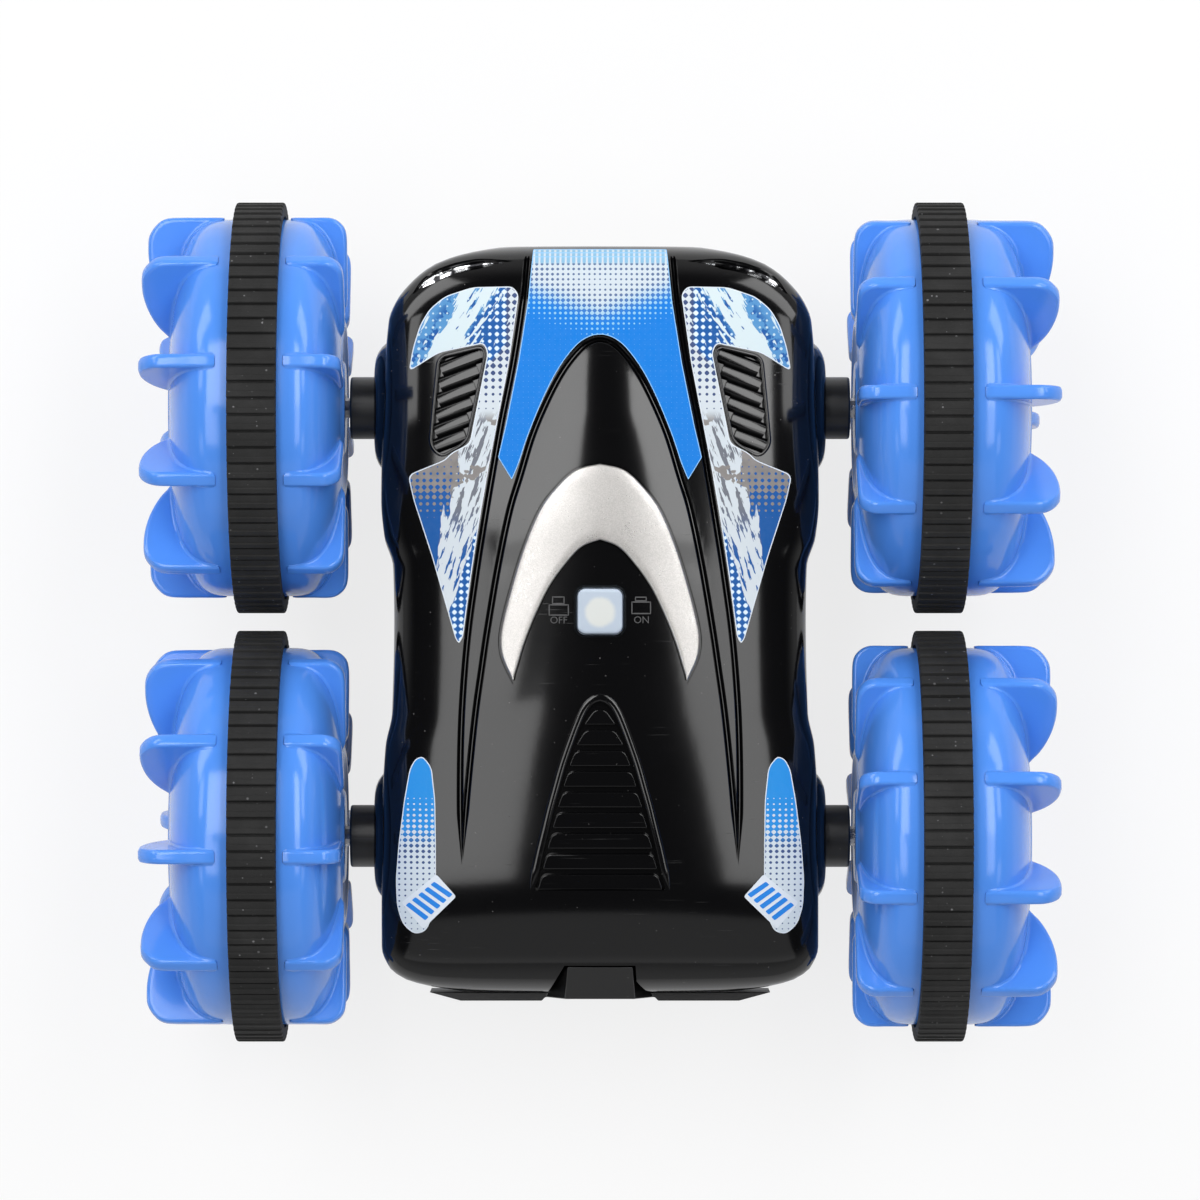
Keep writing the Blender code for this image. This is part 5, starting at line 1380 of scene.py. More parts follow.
def make_button():
    """Models the power button: a soft square cap with a domed edge, its hidden rim and its stem"""
    centre = button_middle()
    top, skirt = BUTTON_HIGH.z, BUTTON_HIGH.z - 5.15 * MM
    cap = upright("milky_button", rounded_square(4.4 * MM, 1.55 * MM, centre, 8), skirt, top - 0.12 * MM)
    bevel_end(cap, UP, 0.55 * MM, 5)
    select_where(cap, "FACE", lambda f: f.normal.z > 0.99 and f.center.z > top - 0.2 * MM)
    for share, lift in ((0.9, 0.04), (0.75, 0.04), (0.6, 0.02), (0.4, 0.01)):
        bpy.ops.mesh.extrude_region_move(TRANSFORM_OT_translate={"value": (0, 0, lift * MM)})
        bpy.ops.transform.resize(value=(share, share, 1), center_override=(*centre, top))
    leave()
    rim = upright("button_rim", rounded_square(5.3 * MM, 1.6 * MM, centre), skirt, skirt + 0.7 * MM)
    combine(cap, rim, "UNION")
    combine(cap, cylinder("button_stem", 1.35 * MM, BUTTON_LOW.z, skirt + 0.5 * MM, centre, sides=32), "UNION")
    finish_piece(crisp(tidy(cap, 0.001 * MM), 40), "power_button", "milky_silicone", ["power_button"])


def make_marks():
    """Models the raised marks beside the button: a raised key and a pressed key, with OFF and ON below"""
    section = in_metres([(0.13, -0.1), (0.11, 0.1), (-0.11, 0.1), (-0.13, -0.1), (0.0, -0.12)])
    pieces = []
    for left, right, low, high in (
        (-9.95, -6.2, 1.45, 3.45), (-9.3, -7.05, 3.7, 5.0), (6.25, 9.9, 1.75, 4.0), (6.95, 9.05, 4.25, 4.95),
    ):
        corners = in_metres([(left, low), (right, low), (right, high), (left, high)])
        pieces.append(roof_loop("mark", even_outline(corners, 0.7 * MM), section))
    for word, x, y in (("OFF", -8.1, 0.4), ("ON", 8.15, 0.45)):
        clear_selection()
        bpy.ops.object.text_add(location=(0, 0, 0))
        letters = bpy.context.object.data
        letters.body, letters.size, letters.extrude, letters.offset = word, 1.95 * MM, 0.1 * MM, -0.012 * MM
        letters.align_x = letters.align_y = "CENTER"
        letters.resolution_u = 4
        bpy.ops.object.convert(target="MESH")
        text = bpy.context.object
        for vert in text.data.vertices:
            px, py = vert.co.x + x * MM, vert.co.y + y * MM
            vert.co = (px, py, roof_z(px, py) + vert.co.z)
        pieces.append(tidy(text, 0.001 * MM))
    finish_piece(smooth(join(pieces, "key_marks"), 30), "body", "satin_black", look="mark_grey")


def make_lamps():
    """Models the faceted silver strips at the bottom of the lamp slots"""
    chance = np.random.default_rng(7)
    for word, side in SIDES:
        path = smooth_line(in_metres(LAMP_LINE, side), 0.62 * MM)[2:-3]
        rings = []
        last = len(path) - 1
        for i, here in enumerate(path):
            wide = 1.35 * min(1.0, (i + 1) / 4, 0.12 + (last + 1 - i) / 26)
            one, two, three = chance.uniform(-0.05, 0.05, 3)
            shape = [
                (-0.74, -1.3), (-0.74, -0.75), (-0.42, -0.45 + one), (-0.05 + two, -0.62),
                (0.3, -0.4 + three), (0.74, -0.72), (0.74, -1.3),
            ]
            section = [(a * wide * MM, b * MM) for a, b in shape]
            rings.append(roof_ring(path[max(i - 1, 0)], here, path[min(i + 1, last)], section))
        strip = loft(f"{word}_lamp_strip", rings)
        edit_all(strip, bpy.ops.mesh.quads_convert_to_tris)
        finish_piece(smooth(strip, 18), "body", "silver_paint", look="lamp_silver")


# -------- bumper and sleeves
def make_bumper():
    """Models the bumper at the tail"""
    low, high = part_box("rear_bumper")
    near, far = HULL_MIDDLE - HULL_HALF_LENGTH - 0.3 * MM, low.y
    wing, hump, step = 27.7 * MM, 10.9 * MM, 0.7 * MM
    right = [(high.x, near), (wing, far), (hump + step, far), (hump, far + step)]
    bumper = upright("tail_bumper", right + mirrored(reversed(right)), low.z, SEAM_Z + 4.5 * MM)
    combine(bumper, tail_hump("bumper_hump", 0.0, 11.6 * MM), "UNION")
    for z in (-6.6, -2.9, 0.8):
        for x0, x1 in ((-26.0, -13.5), (13.5, 26.0)):
            start = (x0 * MM, far - MM, SEAM_Z + z * MM)
            end = (x1 * MM, far + 0.35 * MM, SEAM_Z + (z + 1.1) * MM)
            combine(bumper, box_between("bumper_groove", start, end))
    round_edges(bumper, 0.28 * MM, 3, 25)
    finish_piece(crisp(bumper, 30), "body", "satin_black", ["rear_bumper"])


def make_sleeves():
    """Models both gearbox covers: a rounded plate with a smooth sleeve round each axle"""
    inside, outside = COVER_LOW.x, COVER_HIGH.x
    x, y = COVER_HIGH.y, (COVER_HIGH.z - COVER_LOW.z) / 2
    face = inside + 4.1 * MM + 0.4 * MM
    outline = rounded([(x, y), (-x, y), (-x, -y), (x, -y)], 9 * MM, 8)
    for word, side in SIDES:
        cover = upright(f"{word}_axle_cover", outline, face, face + 1.5 * MM)
        cover.data.transform(Matrix(((0, 0, 1, 0), (1, 0, 0, 0), (0, 1, 0, SEAM_Z), (0, 0, 0, 1))))
        for end in (-1, 1):
            axle, gear = (end * HALF_BASE, SEAM_Z), (end * HALF_BASE / 2, SEAM_Z)
            sleeve = cylinder("sleeve", SLEEVE_RADIUS, face + 0.5 * MM, outside, axle, "X", 72)
            combine(cover, bevel_end(sleeve, OUT, 0.5 * MM, 4), "UNION")
            combine(cover, cylinder("bore", 2.35 * MM, inside - MM, outside + MM, axle, "X", 40))
            pin = cylinder("gear_pin", 1.55 * MM, inside + 0.1 * MM, face + 0.4 * MM, gear, "X", 32)
            combine(cover, pin, "UNION")
        tidy(cover)
        if side < 0:
            cover.data.transform(MIRROR)
            cover.data.flip_normals()
        finish_piece(crisp(cover, 30), "body", "satin_black", [f"{word}_gearbox_cover"])


def make_wheels():
    """Models the four wheels"""
    outer = wheel_half("outer_bowl", DRUM_DEPTH_OUTER, True)
    inner = wheel_half("inner_bowl", DRUM_DEPTH_INNER, False)
    inner.data.transform(Matrix.Rotation(math.pi, 4, "Z"))
    tread = tread_ring("tread_band")
    screw = wheel_screw("hub_screw")
    for corner in CORNERS:
        place_wheel(outer, *corner, "outer_bowl", "blue_plastic", "outer_drum")
        place_wheel(inner, *corner, "inner_bowl", "blue_plastic", "inner_drum")
        place_wheel(tread, *corner, "ribbed_tread", "tread_rubber", "tread", False)
        place_wheel(screw, *corner, "hub_screw", "steel", "wheel_screw")
    for piece in (outer, inner, tread, screw):
        bpy.data.objects.remove(piece)


# -------- node helpers
class Web:
    """Adds nodes to a tree; a value given for a socket is a number, a colour or another socket."""

    def __init__(self, tree):
        self.tree = tree

    def put(self, socket, value):
        if isinstance(value, bpy.types.NodeSocket):
            self.tree.links.new(value, socket)
        elif value is not None:
            socket.default_value = value

    def add(self, kind, values=None, **settings):
        node = self.tree.nodes.new("ShaderNode" + kind)
        for key, value in settings.items():
            setattr(node, key, value)
        for key, value in (values or {}).items():
            self.put(node.inputs[key], value)
        return node

    def math(self, operation, *values):
        return self.add("Math", dict(enumerate(values)), operation=operation).outputs[0]

    def times(self, one, two):
        return self.math("MULTIPLY", one, two)

    def line(self, value, slope, start):
        return self.math("MULTIPLY_ADD", value, slope, start)

    def total(self, *values):
        result = values[0]
        for value in values[1:]:
            result = self.math("ADD", result, value)
        return result

    def most(self, one, two):
        return self.math("MAXIMUM", one, two)

    def less(self, one, two):
        return self.math("SUBTRACT", one, two)

    def mix(self, share, one, two):
        return self.add("Mix", {0: share, 6: colour(one), 7: colour(two)}, data_type="RGBA").outputs[2]

    def blend(self, share, one, two):
        return self.add("Mix", {0: share, 2: one, 3: two}, data_type="FLOAT").outputs[0]

    def step(self, value, low, high):
        """0 below low, 1 above high, with a smooth rise in between."""
        limits = {"Value": value, "From Min": low, "From Max": high}
        return self.add("MapRange", limits, interpolation_type="SMOOTHSTEP").outputs["Result"]

    def ramp(self, value, low, high, start=0.0, end=1.0):
        """Straight, clamped change from start at low to end at high."""
        limits = {"Value": value, "From Min": low, "From Max": high, "To Min": start, "To Max": end}
        return self.add("MapRange", limits).outputs["Result"]

    def noise(self, vector, scale, detail=2.0, rough=0.5):
        values = {"Vector": vector, "Scale": scale, "Detail": detail, "Roughness": rough}
        return self.add("TexNoise", values).outputs["Fac"]

    def turned(self, vector, turn=(0, 0, 0), scale=(1, 1, 1), move=(0, 0, 0)):
        values = {"Vector": vector, "Rotation": turn, "Scale": scale, "Location": move}
        return self.add("Mapping", values).outputs["Vector"]

    def axes(self, vector):
        return self.add("SeparateXYZ", {"Vector": vector}).outputs

    def effect(self, group, **values):
        node = self.add("Group")
        node.node_tree = group
        for key, value in values.items():
            self.put(node.inputs[key.replace("_", " ")], value)
        return node.outputs


def colour(value):
    return (*value, 1.0) if isinstance(value, (tuple, list)) else value


def effect_group(name, inputs, outputs):
    """Makes a function that returns build(web, inputs)'s outputs into a maker of a node group."""

    def wrap(build):
        def make():
            group = bpy.data.node_groups.get(name)
            if group:
                return group
            group = bpy.data.node_groups.new(name, "ShaderNodeTree")
            for label, value in inputs:
                kind = "NodeSocketVector" if value is None else "NodeSocketFloat"
                socket = group.interface.new_socket(name=label, in_out="INPUT", socket_type=kind)
                if value is not None:
                    socket.default_value = value
            for label in outputs:
                group.interface.new_socket(name=label, in_out="OUTPUT", socket_type="NodeSocketFloat")
            start, end = group.nodes.new("NodeGroupInput"), group.nodes.new("NodeGroupOutput")
            web = Web(group)
            for label, value in zip(outputs, build(web, start.outputs)):
                web.put(end.inputs[label], value)
            return group

        return make

    return wrap


@effect_group(
    "Moulded surface", [("Vector", None), ("Ripple scale", 500.0), ("Wear", 1.0)], ["Tone", "Scratches", "Height"],
)
def moulded_surface(web, given):
    """Uneven gloss, faint ripple and fine scratches of a moulded part."""
    place, size, worn = given["Vector"], given["Ripple scale"], given["Wear"]
    ripple = web.noise(place, size)
    broad = web.noise(place, 55.0, 3.0, 0.55)
    lines = []
    for turn, density in ((0.35, 1.0), (-0.9, 1.3), (1.25, 0.8)):
        long = web.turned(place, (0.2, 0.1, turn), (60.0 * density, 3400.0 * density, 900.0))
        lines.append(web.step(web.noise(long, 1.0, 1.0, 0.4), 0.735, 0.80))
    scratch = web.most(web.most(lines[0], lines[1]), lines[2])
    patch = web.step(web.noise(place, 75.0), 0.45, 0.62)
    scratch = web.times(web.times(scratch, patch), worn)
    height = web.less(ripple, web.times(scratch, 0.6))
    return broad, scratch, height


@effect_group("Dust specks", [("Vector", None), ("Scale", 600.0), ("Size", 0.4)], ["Specks"])
def dust_specks(web, given):
    """Scattered pale specks of dust."""
    grid = web.add("TexVoronoi", {"Vector": given["Vector"], "Scale": given["Scale"], "Randomness": 1.0})
    channels = web.add("SeparateColor", {"Color": grid.outputs["Color"]})
    size = web.times(web.math("POWER", channels.outputs[0], 6.0), given["Size"])
    near = web.less(size, grid.outputs["Distance"])
    speck = web.step(near, 0.0, 0.05)
    return (web.times(speck, channels.outputs[1]),)


@effect_group("Halftone", [("Vector", None), ("Pitch X", 0.001), ("Pitch Y", 0.001), ("Coverage", 0.5)], ["Dots"])
def halftone(web, given):
    """Printed dots: their share of the area follows the coverage, from small dots to small gaps."""
    waves = []
    for axis in ("X", "Y"):
        turns = web.math("DIVIDE", web.axes(given["Vector"])[axis], given["Pitch " + axis])
        waves.append(web.math("COSINE", web.times(turns, 2 * math.pi)))
    spot = web.line(web.total(waves[0], waves[1]), 0.25, 0.5)
    inside = web.less(web.total(spot, given["Coverage"]), 1.0)
    return (web.step(inside, -0.035, 0.035),)


@effect_group("Brush splatter", [("Vector", None), ("Angle", 0.6), ("Scale", 420.0), ("Cover", 0.5)], ["Paint"])
def brush_splatter(web, given):
    """Ragged strokes of paint along one direction."""
    turn = {"Vector": given["Vector"], "Angle": given["Angle"]}
    turned = web.add("VectorRotate", turn, rotation_type="Z_AXIS").outputs[0]
    size = {0: web.turned(turned, scale=(1.0, 0.16, 1.0)), "Scale": given["Scale"]}
    place = web.add("VectorMath", size, operation="SCALE").outputs[0]
    ragged = web.line(web.noise(place, 3.1), 0.35, web.noise(place, 1.0, 3.0, 0.55))
    level = web.total(ragged, web.less(given["Cover"], 1.17))
    return (web.step(level, -0.012, 0.012),)


def new_material(name, **constants):
    """A material with a Principled shader; constants are set on the shader's own sockets."""
    item = bpy.data.materials.new(name)
    item.use_nodes = True
    web = Web(item.node_tree)
    web.item = item
    web.shader = next(n for n in item.node_tree.nodes if n.type == "BSDF_PRINCIPLED")
    for key, value in constants.items():
        web.shader.inputs[key.replace("_", " ")].default_value = value
    return web, web.add("TexCoord").outputs["Object"]


def dress(web, tone, gloss, height, depth):
    """Feeds a shader's colour, roughness and bump, and returns the finished material."""
    bump = web.add("Bump", {"Height": height, "Distance": depth, "Strength": 1.0})
    for key, value in (("Base Color", tone), ("Roughness", gloss), ("Normal", bump.outputs["Normal"])):
        web.put(web.shader.inputs[key], value)
    return web.item


def plastic(name, base, rough, scratched=0.6, ripple=0.006, dusty=0.35, variation=0.12):
    """Moulded plastic with uneven gloss, fine scratches and a little dust."""
    web, place = new_material(name, Coat_Roughness=0.12, IOR=1.5)
    surface = web.effect(moulded_surface(), Vector=place, Wear=scratched)
    dust = web.times(web.effect(dust_specks(), Vector=place, Scale=900.0, Size=0.17)[0], dusty)
    dark, light = [c * (1 - variation) for c in base], [min(1.0, c * (1 + variation)) for c in base]
    tone = web.mix(surface["Tone"], dark, light)
    pale = [0.35 + 0.4 * c for c in base]
    worn = web.mix(web.times(surface["Scratches"], 0.10), tone, pale)
    gloss = web.line(surface["Tone"], 0.35 * rough, 0.82 * rough)
    gloss = web.line(dust, 0.4, web.line(surface["Scratches"], 0.25, gloss))
    return dress(web, web.mix(dust, worn, (0.42, 0.41, 0.40)), gloss, surface["Height"], ripple * MM)


def metal(name, base, rough, grain=(40.0, 900.0, 900.0)):
    """Worked metal with drawn lines and a few dull patches."""
    web, place = new_material(name, Metallic=1.0)
    lines = web.noise(web.turned(place, scale=grain), 1.0, 3.0, 0.6)
    patches = web.step(web.noise(place, 160.0, 3.0, 0.6), 0.42, 0.7)
    tone = web.mix(web.times(patches, 0.5), base, [c * 0.62 for c in base])
    gloss = web.line(patches, 0.15, web.line(lines, 0.3 * rough, 0.8 * rough))
    return dress(web, tone, gloss, lines, 0.004 * MM)


def sticker_film(name):
    """Makes a function that returns a print's colour into a maker of a glossy film with that print.

    The function gets the place mirrored to one side, and its distances across and along in mm.
    """

    def wrap(build):
        def make():
            web, place = new_material(name, IOR=1.15)
            axes = web.axes(place)
            side = web.math("ABSOLUTE", axes["X"])
            half = web.add("CombineXYZ", {"X": side, "Y": axes["Y"]}).outputs[0]
            paint = build(web, half, web.times(side, 1000.0), web.times(axes["Y"], 1000.0))
            paint = web.mix(web.times(web.noise(place, 900.0, 2.0, 0.6), 0.04), paint, (0.5, 0.55, 0.6))
            gloss = web.line(web.noise(place, 70.0, 3.0, 0.5), 0.16, 0.34)
            return dress(web, paint, gloss, web.noise(place, 380.0), 0.004 * MM)

        return make

    return wrap


def dotted(web, place, pitch, cover, paper, ink):
    """Ink dots on paper, or paper dots on ink where the coverage is high."""
    dots = web.effect(halftone(), Vector=place, Pitch_X=pitch[0] * MM, Pitch_Y=pitch[1] * MM, Coverage=cover)[0]
    return web.mix(dots, paper, ink)


@sticker_film("Nose print")
def nose_print(web, place, across, along):
    """White at the front, then dots that close up into solid blue, earlier along the sides."""
    finish = settings("finishes")
    blue, white = tuple(finish.sticker_blue), tuple(finish.sticker_white)
    depth = web.line(across, -0.35, along)
    cover = web.total(
        web.ramp(depth, 67.0, 60.5, 0.1, 0.5), web.ramp(depth, 60.5, 55.0, 0.0, 0.5),
        web.ramp(along, 67.0, 70.0, 0.0, 0.2),
    )
    turned_blue = web.step(depth, 64.0, 58.0)
    ink = web.mix(turned_blue, (0.10, 0.16, 0.31), blue)
    paper = web.mix(turned_blue, white, (0.24, 0.52, 0.74))
    body = dotted(web, place, (1.04, 1.04), cover, paper, ink)
    front = dotted(web, place, (1.04, 60.0), 0.52, white, (0.24, 0.46, 0.66))
    return web.mix(web.step(along, 70.6, 71.2), body, front)


def ring_dots(web, place, pitch, cover, ground):
    """Pale dots with a lighter middle on a coloured ground."""
    rings = dotted(web, place, (pitch, pitch), cover, (0.36, 0.58, 0.82), ground)
    return dotted(web, place, (pitch, pitch), web.total(cover, 0.13), (0.70, 0.78, 0.86), rings)


def strokes(web, place, angle, scale, cover):
    return web.effect(brush_splatter(), Vector=place, Angle=angle, Scale=scale, Cover=cover)[0]


@sticker_film("Fender print")
def fender_print(web, place, across, along):
    """Blue and silver grounds under dots, white splashes and thin slits."""
    middle_blue, sky = (0.008, 0.092, 0.33), (0.085, 0.27, 0.53)
    slate, silver, pale = (0.045, 0.075, 0.19), (0.225, 0.210, 0.200), (0.60, 0.655, 0.70)
    # The upper part: how far a spot lies outside the middle of the white splash.
    lean = web.total(web.times(across, 0.83), web.times(along, 0.56), -56.2)
    cloud = web.noise(place, 330.0, 3.0, 0.6)
    islands = web.step(cloud, 0.47, 0.50)
    ground = web.mix(web.step(lean, 3.0, 5.5), web.mix(islands, middle_blue, sky), sky)
    drops = web.ramp(along, 62.0, 49.0, 0.93, 0.72)
    ground = dotted(web, place, (1.4, 1.4), drops, (0.50, 0.65, 0.72), ground)
    cover = web.times(web.ramp(across, 16.5, 23.5, 0.40, 0.82), web.ramp(along, 41.0, 55.0))
    sparse = dotted(web, place, (1.4, 1.4), cover, pale, slate)
    closed = ring_dots(web, place, 1.4, cover, middle_blue)
    upper = web.mix(web.step(lean, -2.2, -3.2), ground, web.mix(web.step(cover, 0.50, 0.54), sparse, closed))
    off_middle = web.math("ABSOLUTE", web.total(lean, 0.7))
    splash = strokes(web, place, -0.594, 430.0, web.line(off_middle, -0.062, 0.66))
    streaks = strokes(web, place, -0.50, 800.0, 0.35)
    streaks = web.times(streaks, web.step(along, 54.0, 55.0))
    cuts = strokes(web, place, -0.50, 640.0, 0.40)
    white = web.most(web.less(splash, cuts), streaks)
    upper = web.mix(white, upper, (0.61, 0.71, 0.74))

    clouded = web.mix(cloud, [c * 0.7 for c in silver], [c * 1.4 for c in silver])
    left = dotted(web, place, (1.33, 1.33), web.ramp(along, 31.0, 20.0, 0.02, 1.05), clouded, middle_blue)
    slits = strokes(web, place, -0.34, 900.0, 0.44)
    fading = web.mix(web.step(along, 12.0, 24.0), middle_blue, (0.16, 0.17, 0.20))
    patches = web.step(web.noise(place, 190.0, 3.0, 0.6), 0.585, 0.60)
    patches = web.times(patches, web.step(along, 20.0, 24.0))
    field = web.mix(patches, web.mix(slits, pale, fading), clouded)
    drips = web.noise(web.turned(place, (0, 0, 0.30), (850.0, 110.0, 300.0)), 1.0, 3.0, 0.6)
    border = web.total(across, web.times(along, 0.246), web.times(drips, 11.0), -41.0)
    lower = web.mix(web.step(border, -0.2, 0.2), field, left)
    inside = web.line(along, 0.152, web.less(across, 26.5))
    wide = web.line(drips, 1.6, web.ramp(along, 22.0, -3.0, -1.0, 3.4))
    band = web.step(web.less(wide, inside), -0.08, 0.08)
    lower = web.mix(band, lower, ring_dots(web, place, 1.33, web.ramp(along, 20.0, 2.0, 0.72, 0.56), middle_blue))
    return web.mix(web.step(along, 39.0, 42.0), lower, upper)


@sticker_film("Tail print")
def tail_print(web, place, across, along):
    """Solid blue at the top that opens through paper dots into small ink dots."""
    cover = web.total(
        web.ramp(along, -42.0, -33.5, 0.0, 0.52), web.ramp(along, -49.0, -42.0, 0.0, 0.32),
        web.ramp(along, -60.0, -49.0, 0.07, 0.18),
    )
    ink = web.mix(web.step(along, -45.0, -40.0), (0.05, 0.09, 0.22), (0.02, 0.26, 0.68))
    return dotted(web, place, (1.2, 1.1), cover, (0.60, 0.67, 0.72), ink)


@sticker_film("Flash print")
def flash_print(web, place, across, along):
    return web.mix(web.noise(place, 210.0), (0.015, 0.20, 0.66), (0.025, 0.25, 0.76))


def sticker_edge(name="Sticker edge", low=(0.62, 0.69, 0.77), high=(0.76, 0.80, 0.84)):
    return sticker_film(name)(lambda web, place, *spot: web.mix(web.noise(place, 150.0), low, high))()


def silver_paint():
    """Sprayed silver: metal flakes in a clear binder."""
    web, place = new_material("Silver paint", Metallic=0.85, Coat_Weight=0.3, Coat_Roughness=0.25)
    flakes = web.add("TexVoronoi", {"Vector": place, "Scale": 8000.0})
    split = web.add("SeparateColor", {"Color": flakes.outputs["Color"]}).outputs
    base = tuple(settings("finishes").silver)
    tone = web.mix(split[0], [c * 0.86 for c in base], [min(1, c * 1.12) for c in base])
    gloss = web.line(web.noise(place, 240.0, 3.0, 0.6), 0.12, web.line(split[1], 0.12, 0.22))
    return dress(web, tone, gloss, split[2], 0.008 * MM)


def lamp_silver():
    """Bright reflector foil with dark, uneven patches."""
    web, place = new_material("Lamp silver with painted glints", Metallic=1.0)
    # Painted reflection: a mask of irregular patches that breaks the foil into glints.
    patches = web.step(web.noise(place, 380.0, 2.0, 0.45), 0.46, 0.54)
    fine = web.noise(place, 1500.0)
    # Near-black where the slot is painted dark, bright silver where glints are painted.
    tone = web.mix(patches, (0.02, 0.02, 0.022), (0.78, 0.79, 0.81))
    return dress(web, tone, web.line(fine, 0.2, 0.08), fine, 0.004 * MM)


def milky_silicone():
    """Translucent silicone: bluish at the rim, warm and pale where the lamp sits below."""
    # Painted glow: the cap emits a faint light of its own, though it is no lamp.
    web, place = new_material("Milky silicone with painted glow", IOR=1.42, Emission_Strength=0.05)
    x, y = button_middle()
    axes = web.axes(web.turned(place, move=(-x, -y + 0.2 * MM, 0)))
    flat = web.add("CombineXYZ", {"X": axes["X"], "Y": axes["Y"]}).outputs[0]
    distance = web.add("VectorMath", {0: flat}, operation="LENGTH").outputs["Value"]
    # Painted glow: a warm pale patch in the middle of the cap, where light from below is painted.
    glow = web.step(web.line(web.noise(place, 700.0, 3.0, 0.6), 0.5 * MM, distance), 3.7 * MM, 2.6 * MM)
    side = web.most(web.math("ABSOLUTE", axes["X"]), web.math("ABSOLUTE", axes["Y"]))
    rim = web.step(side, 3.75 * MM, 4.3 * MM)
    tone = web.mix(rim, tuple(settings("finishes").button_white), (0.50, 0.58, 0.68))
    # The warm pale patch is painted light mixed into the cap's colour.
    tone = web.mix(glow, tone, (0.58, 0.60, 0.58))
    cloud = web.noise(place, 420.0, 4.0, 0.6)
    # Painted glow: the emitted light is warm in the patch and faintly bluish elsewhere.
    web.put(web.shader.inputs["Emission Color"], web.mix(glow, (0.25, 0.3, 0.38), (1.0, 0.97, 0.9)))
    tone = web.mix(web.times(cloud, 0.12), tone, (0.5, 0.55, 0.62))
    return dress(web, tone, web.line(cloud, 0.2, 0.38), web.noise(place, 1600.0, 2.0, 0.6), 0.01 * MM)


def tread_rubber():
    web, place = new_material("Tread rubber", IOR=1.45)
    base = tuple(settings("finishes").rubber_black)
    dust = web.effect(dust_specks(), Vector=place, Scale=1100.0, Size=0.3)[0]
    fine = web.noise(place, 2600.0, 2.0, 0.7)
    film = web.step(web.noise(place, 90.0, 4.0, 0.6), 0.35, 0.75)
    tone = web.mix(web.times(film, 0.5), base, [c + 0.02 for c in base])
    tone = web.mix(web.times(dust, 0.5), tone, (0.3, 0.3, 0.31))
    return dress(web, tone, web.line(fine, 0.2, 0.72), fine, 0.03 * MM)


def soft_skin(name, scale, low, high, rough, depth):
    """A plain rubber or insulation, a little uneven in tone and gloss."""
    web, place = new_material(name)
    wear = web.noise(place, scale, 3.0, 0.6)
    return dress(web, web.mix(wear, low, high), web.line(wear, 0.2, rough), wear, depth * MM)


def board_green():
    """Solder mask with copper tracks underneath and tinned pads."""
    web, place = new_material("Board green", Coat_Weight=0.3)
    bricks = {"Vector": place, "Scale": 260.0, "Mortar Size": 0.06, "Brick Width": 1.3, "Row Height": 0.33}
    tracks = web.add("TexBrick", bricks).outputs["Fac"]
    pads = web.add("TexVoronoi", {"Vector": place, "Scale": 330.0, "Randomness": 0.35})
    pad = web.step(pads.outputs["Distance"], 0.16, 0.12)
    web.put(web.shader.inputs["Metallic"], pad)
    tone = web.mix(tracks, (0.012, 0.13, 0.05), (0.03, 0.24, 0.09))
    tone = web.mix(pad, tone, (0.6, 0.6, 0.58))
    return dress(web, tone, web.blend(pad, 0.42, 0.28), web.most(tracks, pad), 0.05 * MM)


def battery_wrap():
    """Shrink film with the bulge of two cells and small creases."""
    web, place = new_material("Battery wrap", Coat_Weight=0.4)
    creases = web.noise(web.turned(place, scale=(90.0, 700.0, 300.0)), 1.0, 4.0, 0.65)
    tone = web.mix(creases, (0.03, 0.15, 0.42), (0.07, 0.27, 0.62))
    seam = web.step(web.math("ABSOLUTE", web.total(web.axes(place)["X"], 0.006)), 0.0012, 0.0004)
    tone = web.mix(seam, tone, (0.02, 0.09, 0.3))
    return dress(web, tone, web.line(creases, 0.2, 0.2), web.total(creases, seam), 0.08 * MM)


def build_material(slot):
    finish = settings("finishes")
    makers = {
        "gloss_black": lambda: plastic("Gloss black", tuple(finish.hull_black), 0.10, 0.5, 0.0025, 0.22),
        "satin_black": lambda: plastic("Satin black", tuple(finish.trim_black), 0.34, 0.4, 0.010, 0.2),
        "mark_grey": lambda: plastic("Raised marks", (0.06, 0.06, 0.062), 0.5, 0.3, 0.01),
        "blue_plastic": lambda: plastic("Blue plastic", tuple(finish.wheel_blue), 0.15, 0.3, 0.004, 0.08, 0.04),
        "gearbox_grey": lambda: plastic("Gearbox grey", (0.10, 0.10, 0.11), 0.5, 0.5, 0.012),
        "white_nylon": lambda: plastic("White nylon", (0.72, 0.71, 0.66), 0.4, 0.3, 0.01, 0.15, 0.05),
        "steel": lambda: metal("Plated steel", (0.56, 0.56, 0.58), 0.28),
        "brass": lambda: metal("Brass", (0.72, 0.50, 0.20), 0.3, (900.0, 900.0, 40.0)),
        "motor_can": lambda: metal("Motor can", (0.60, 0.60, 0.59), 0.34, (900.0, 60.0, 900.0)),
        "seal_rubber": lambda: soft_skin("Seal rubber", 1800.0, [0.02] * 3, [0.045] * 3, 0.6, 0.03),
        "lead_red": lambda: soft_skin("Lead insulation", 900.0, (0.32, 0.01, 0.01), (0.5, 0.03, 0.025), 0.35, 0.02),
        "nose_edge": lambda: sticker_edge("Nose edge", (0.22, 0.50, 0.86), (0.34, 0.60, 0.90)),
        "silver_paint": silver_paint, "lamp_silver": lamp_silver, "milky_silicone": milky_silicone,
        "tread_rubber": tread_rubber, "board_green": board_green, "battery_wrap": battery_wrap,
        "nose_print": nose_print, "fender_print": fender_print, "tail_print": tail_print,
        "flash_print": flash_print, "sticker_edge": sticker_edge,
    }
    return makers[slot]()


BUILT = {}


def material(slot):
    """The material of a finish, made on first use."""
    if slot not in BUILT:
        BUILT[slot] = build_material(slot)
    return BUILT[slot]


def dress_inside():
    """Gives every carried-over CAD piece the detailed material of its slot"""
    for part in frame["record"]["subparts"]:
        node = frame["nodes"][part["node"]]
        node.data.materials.clear()
        node.data.materials.append(material(part["material_slot"]))


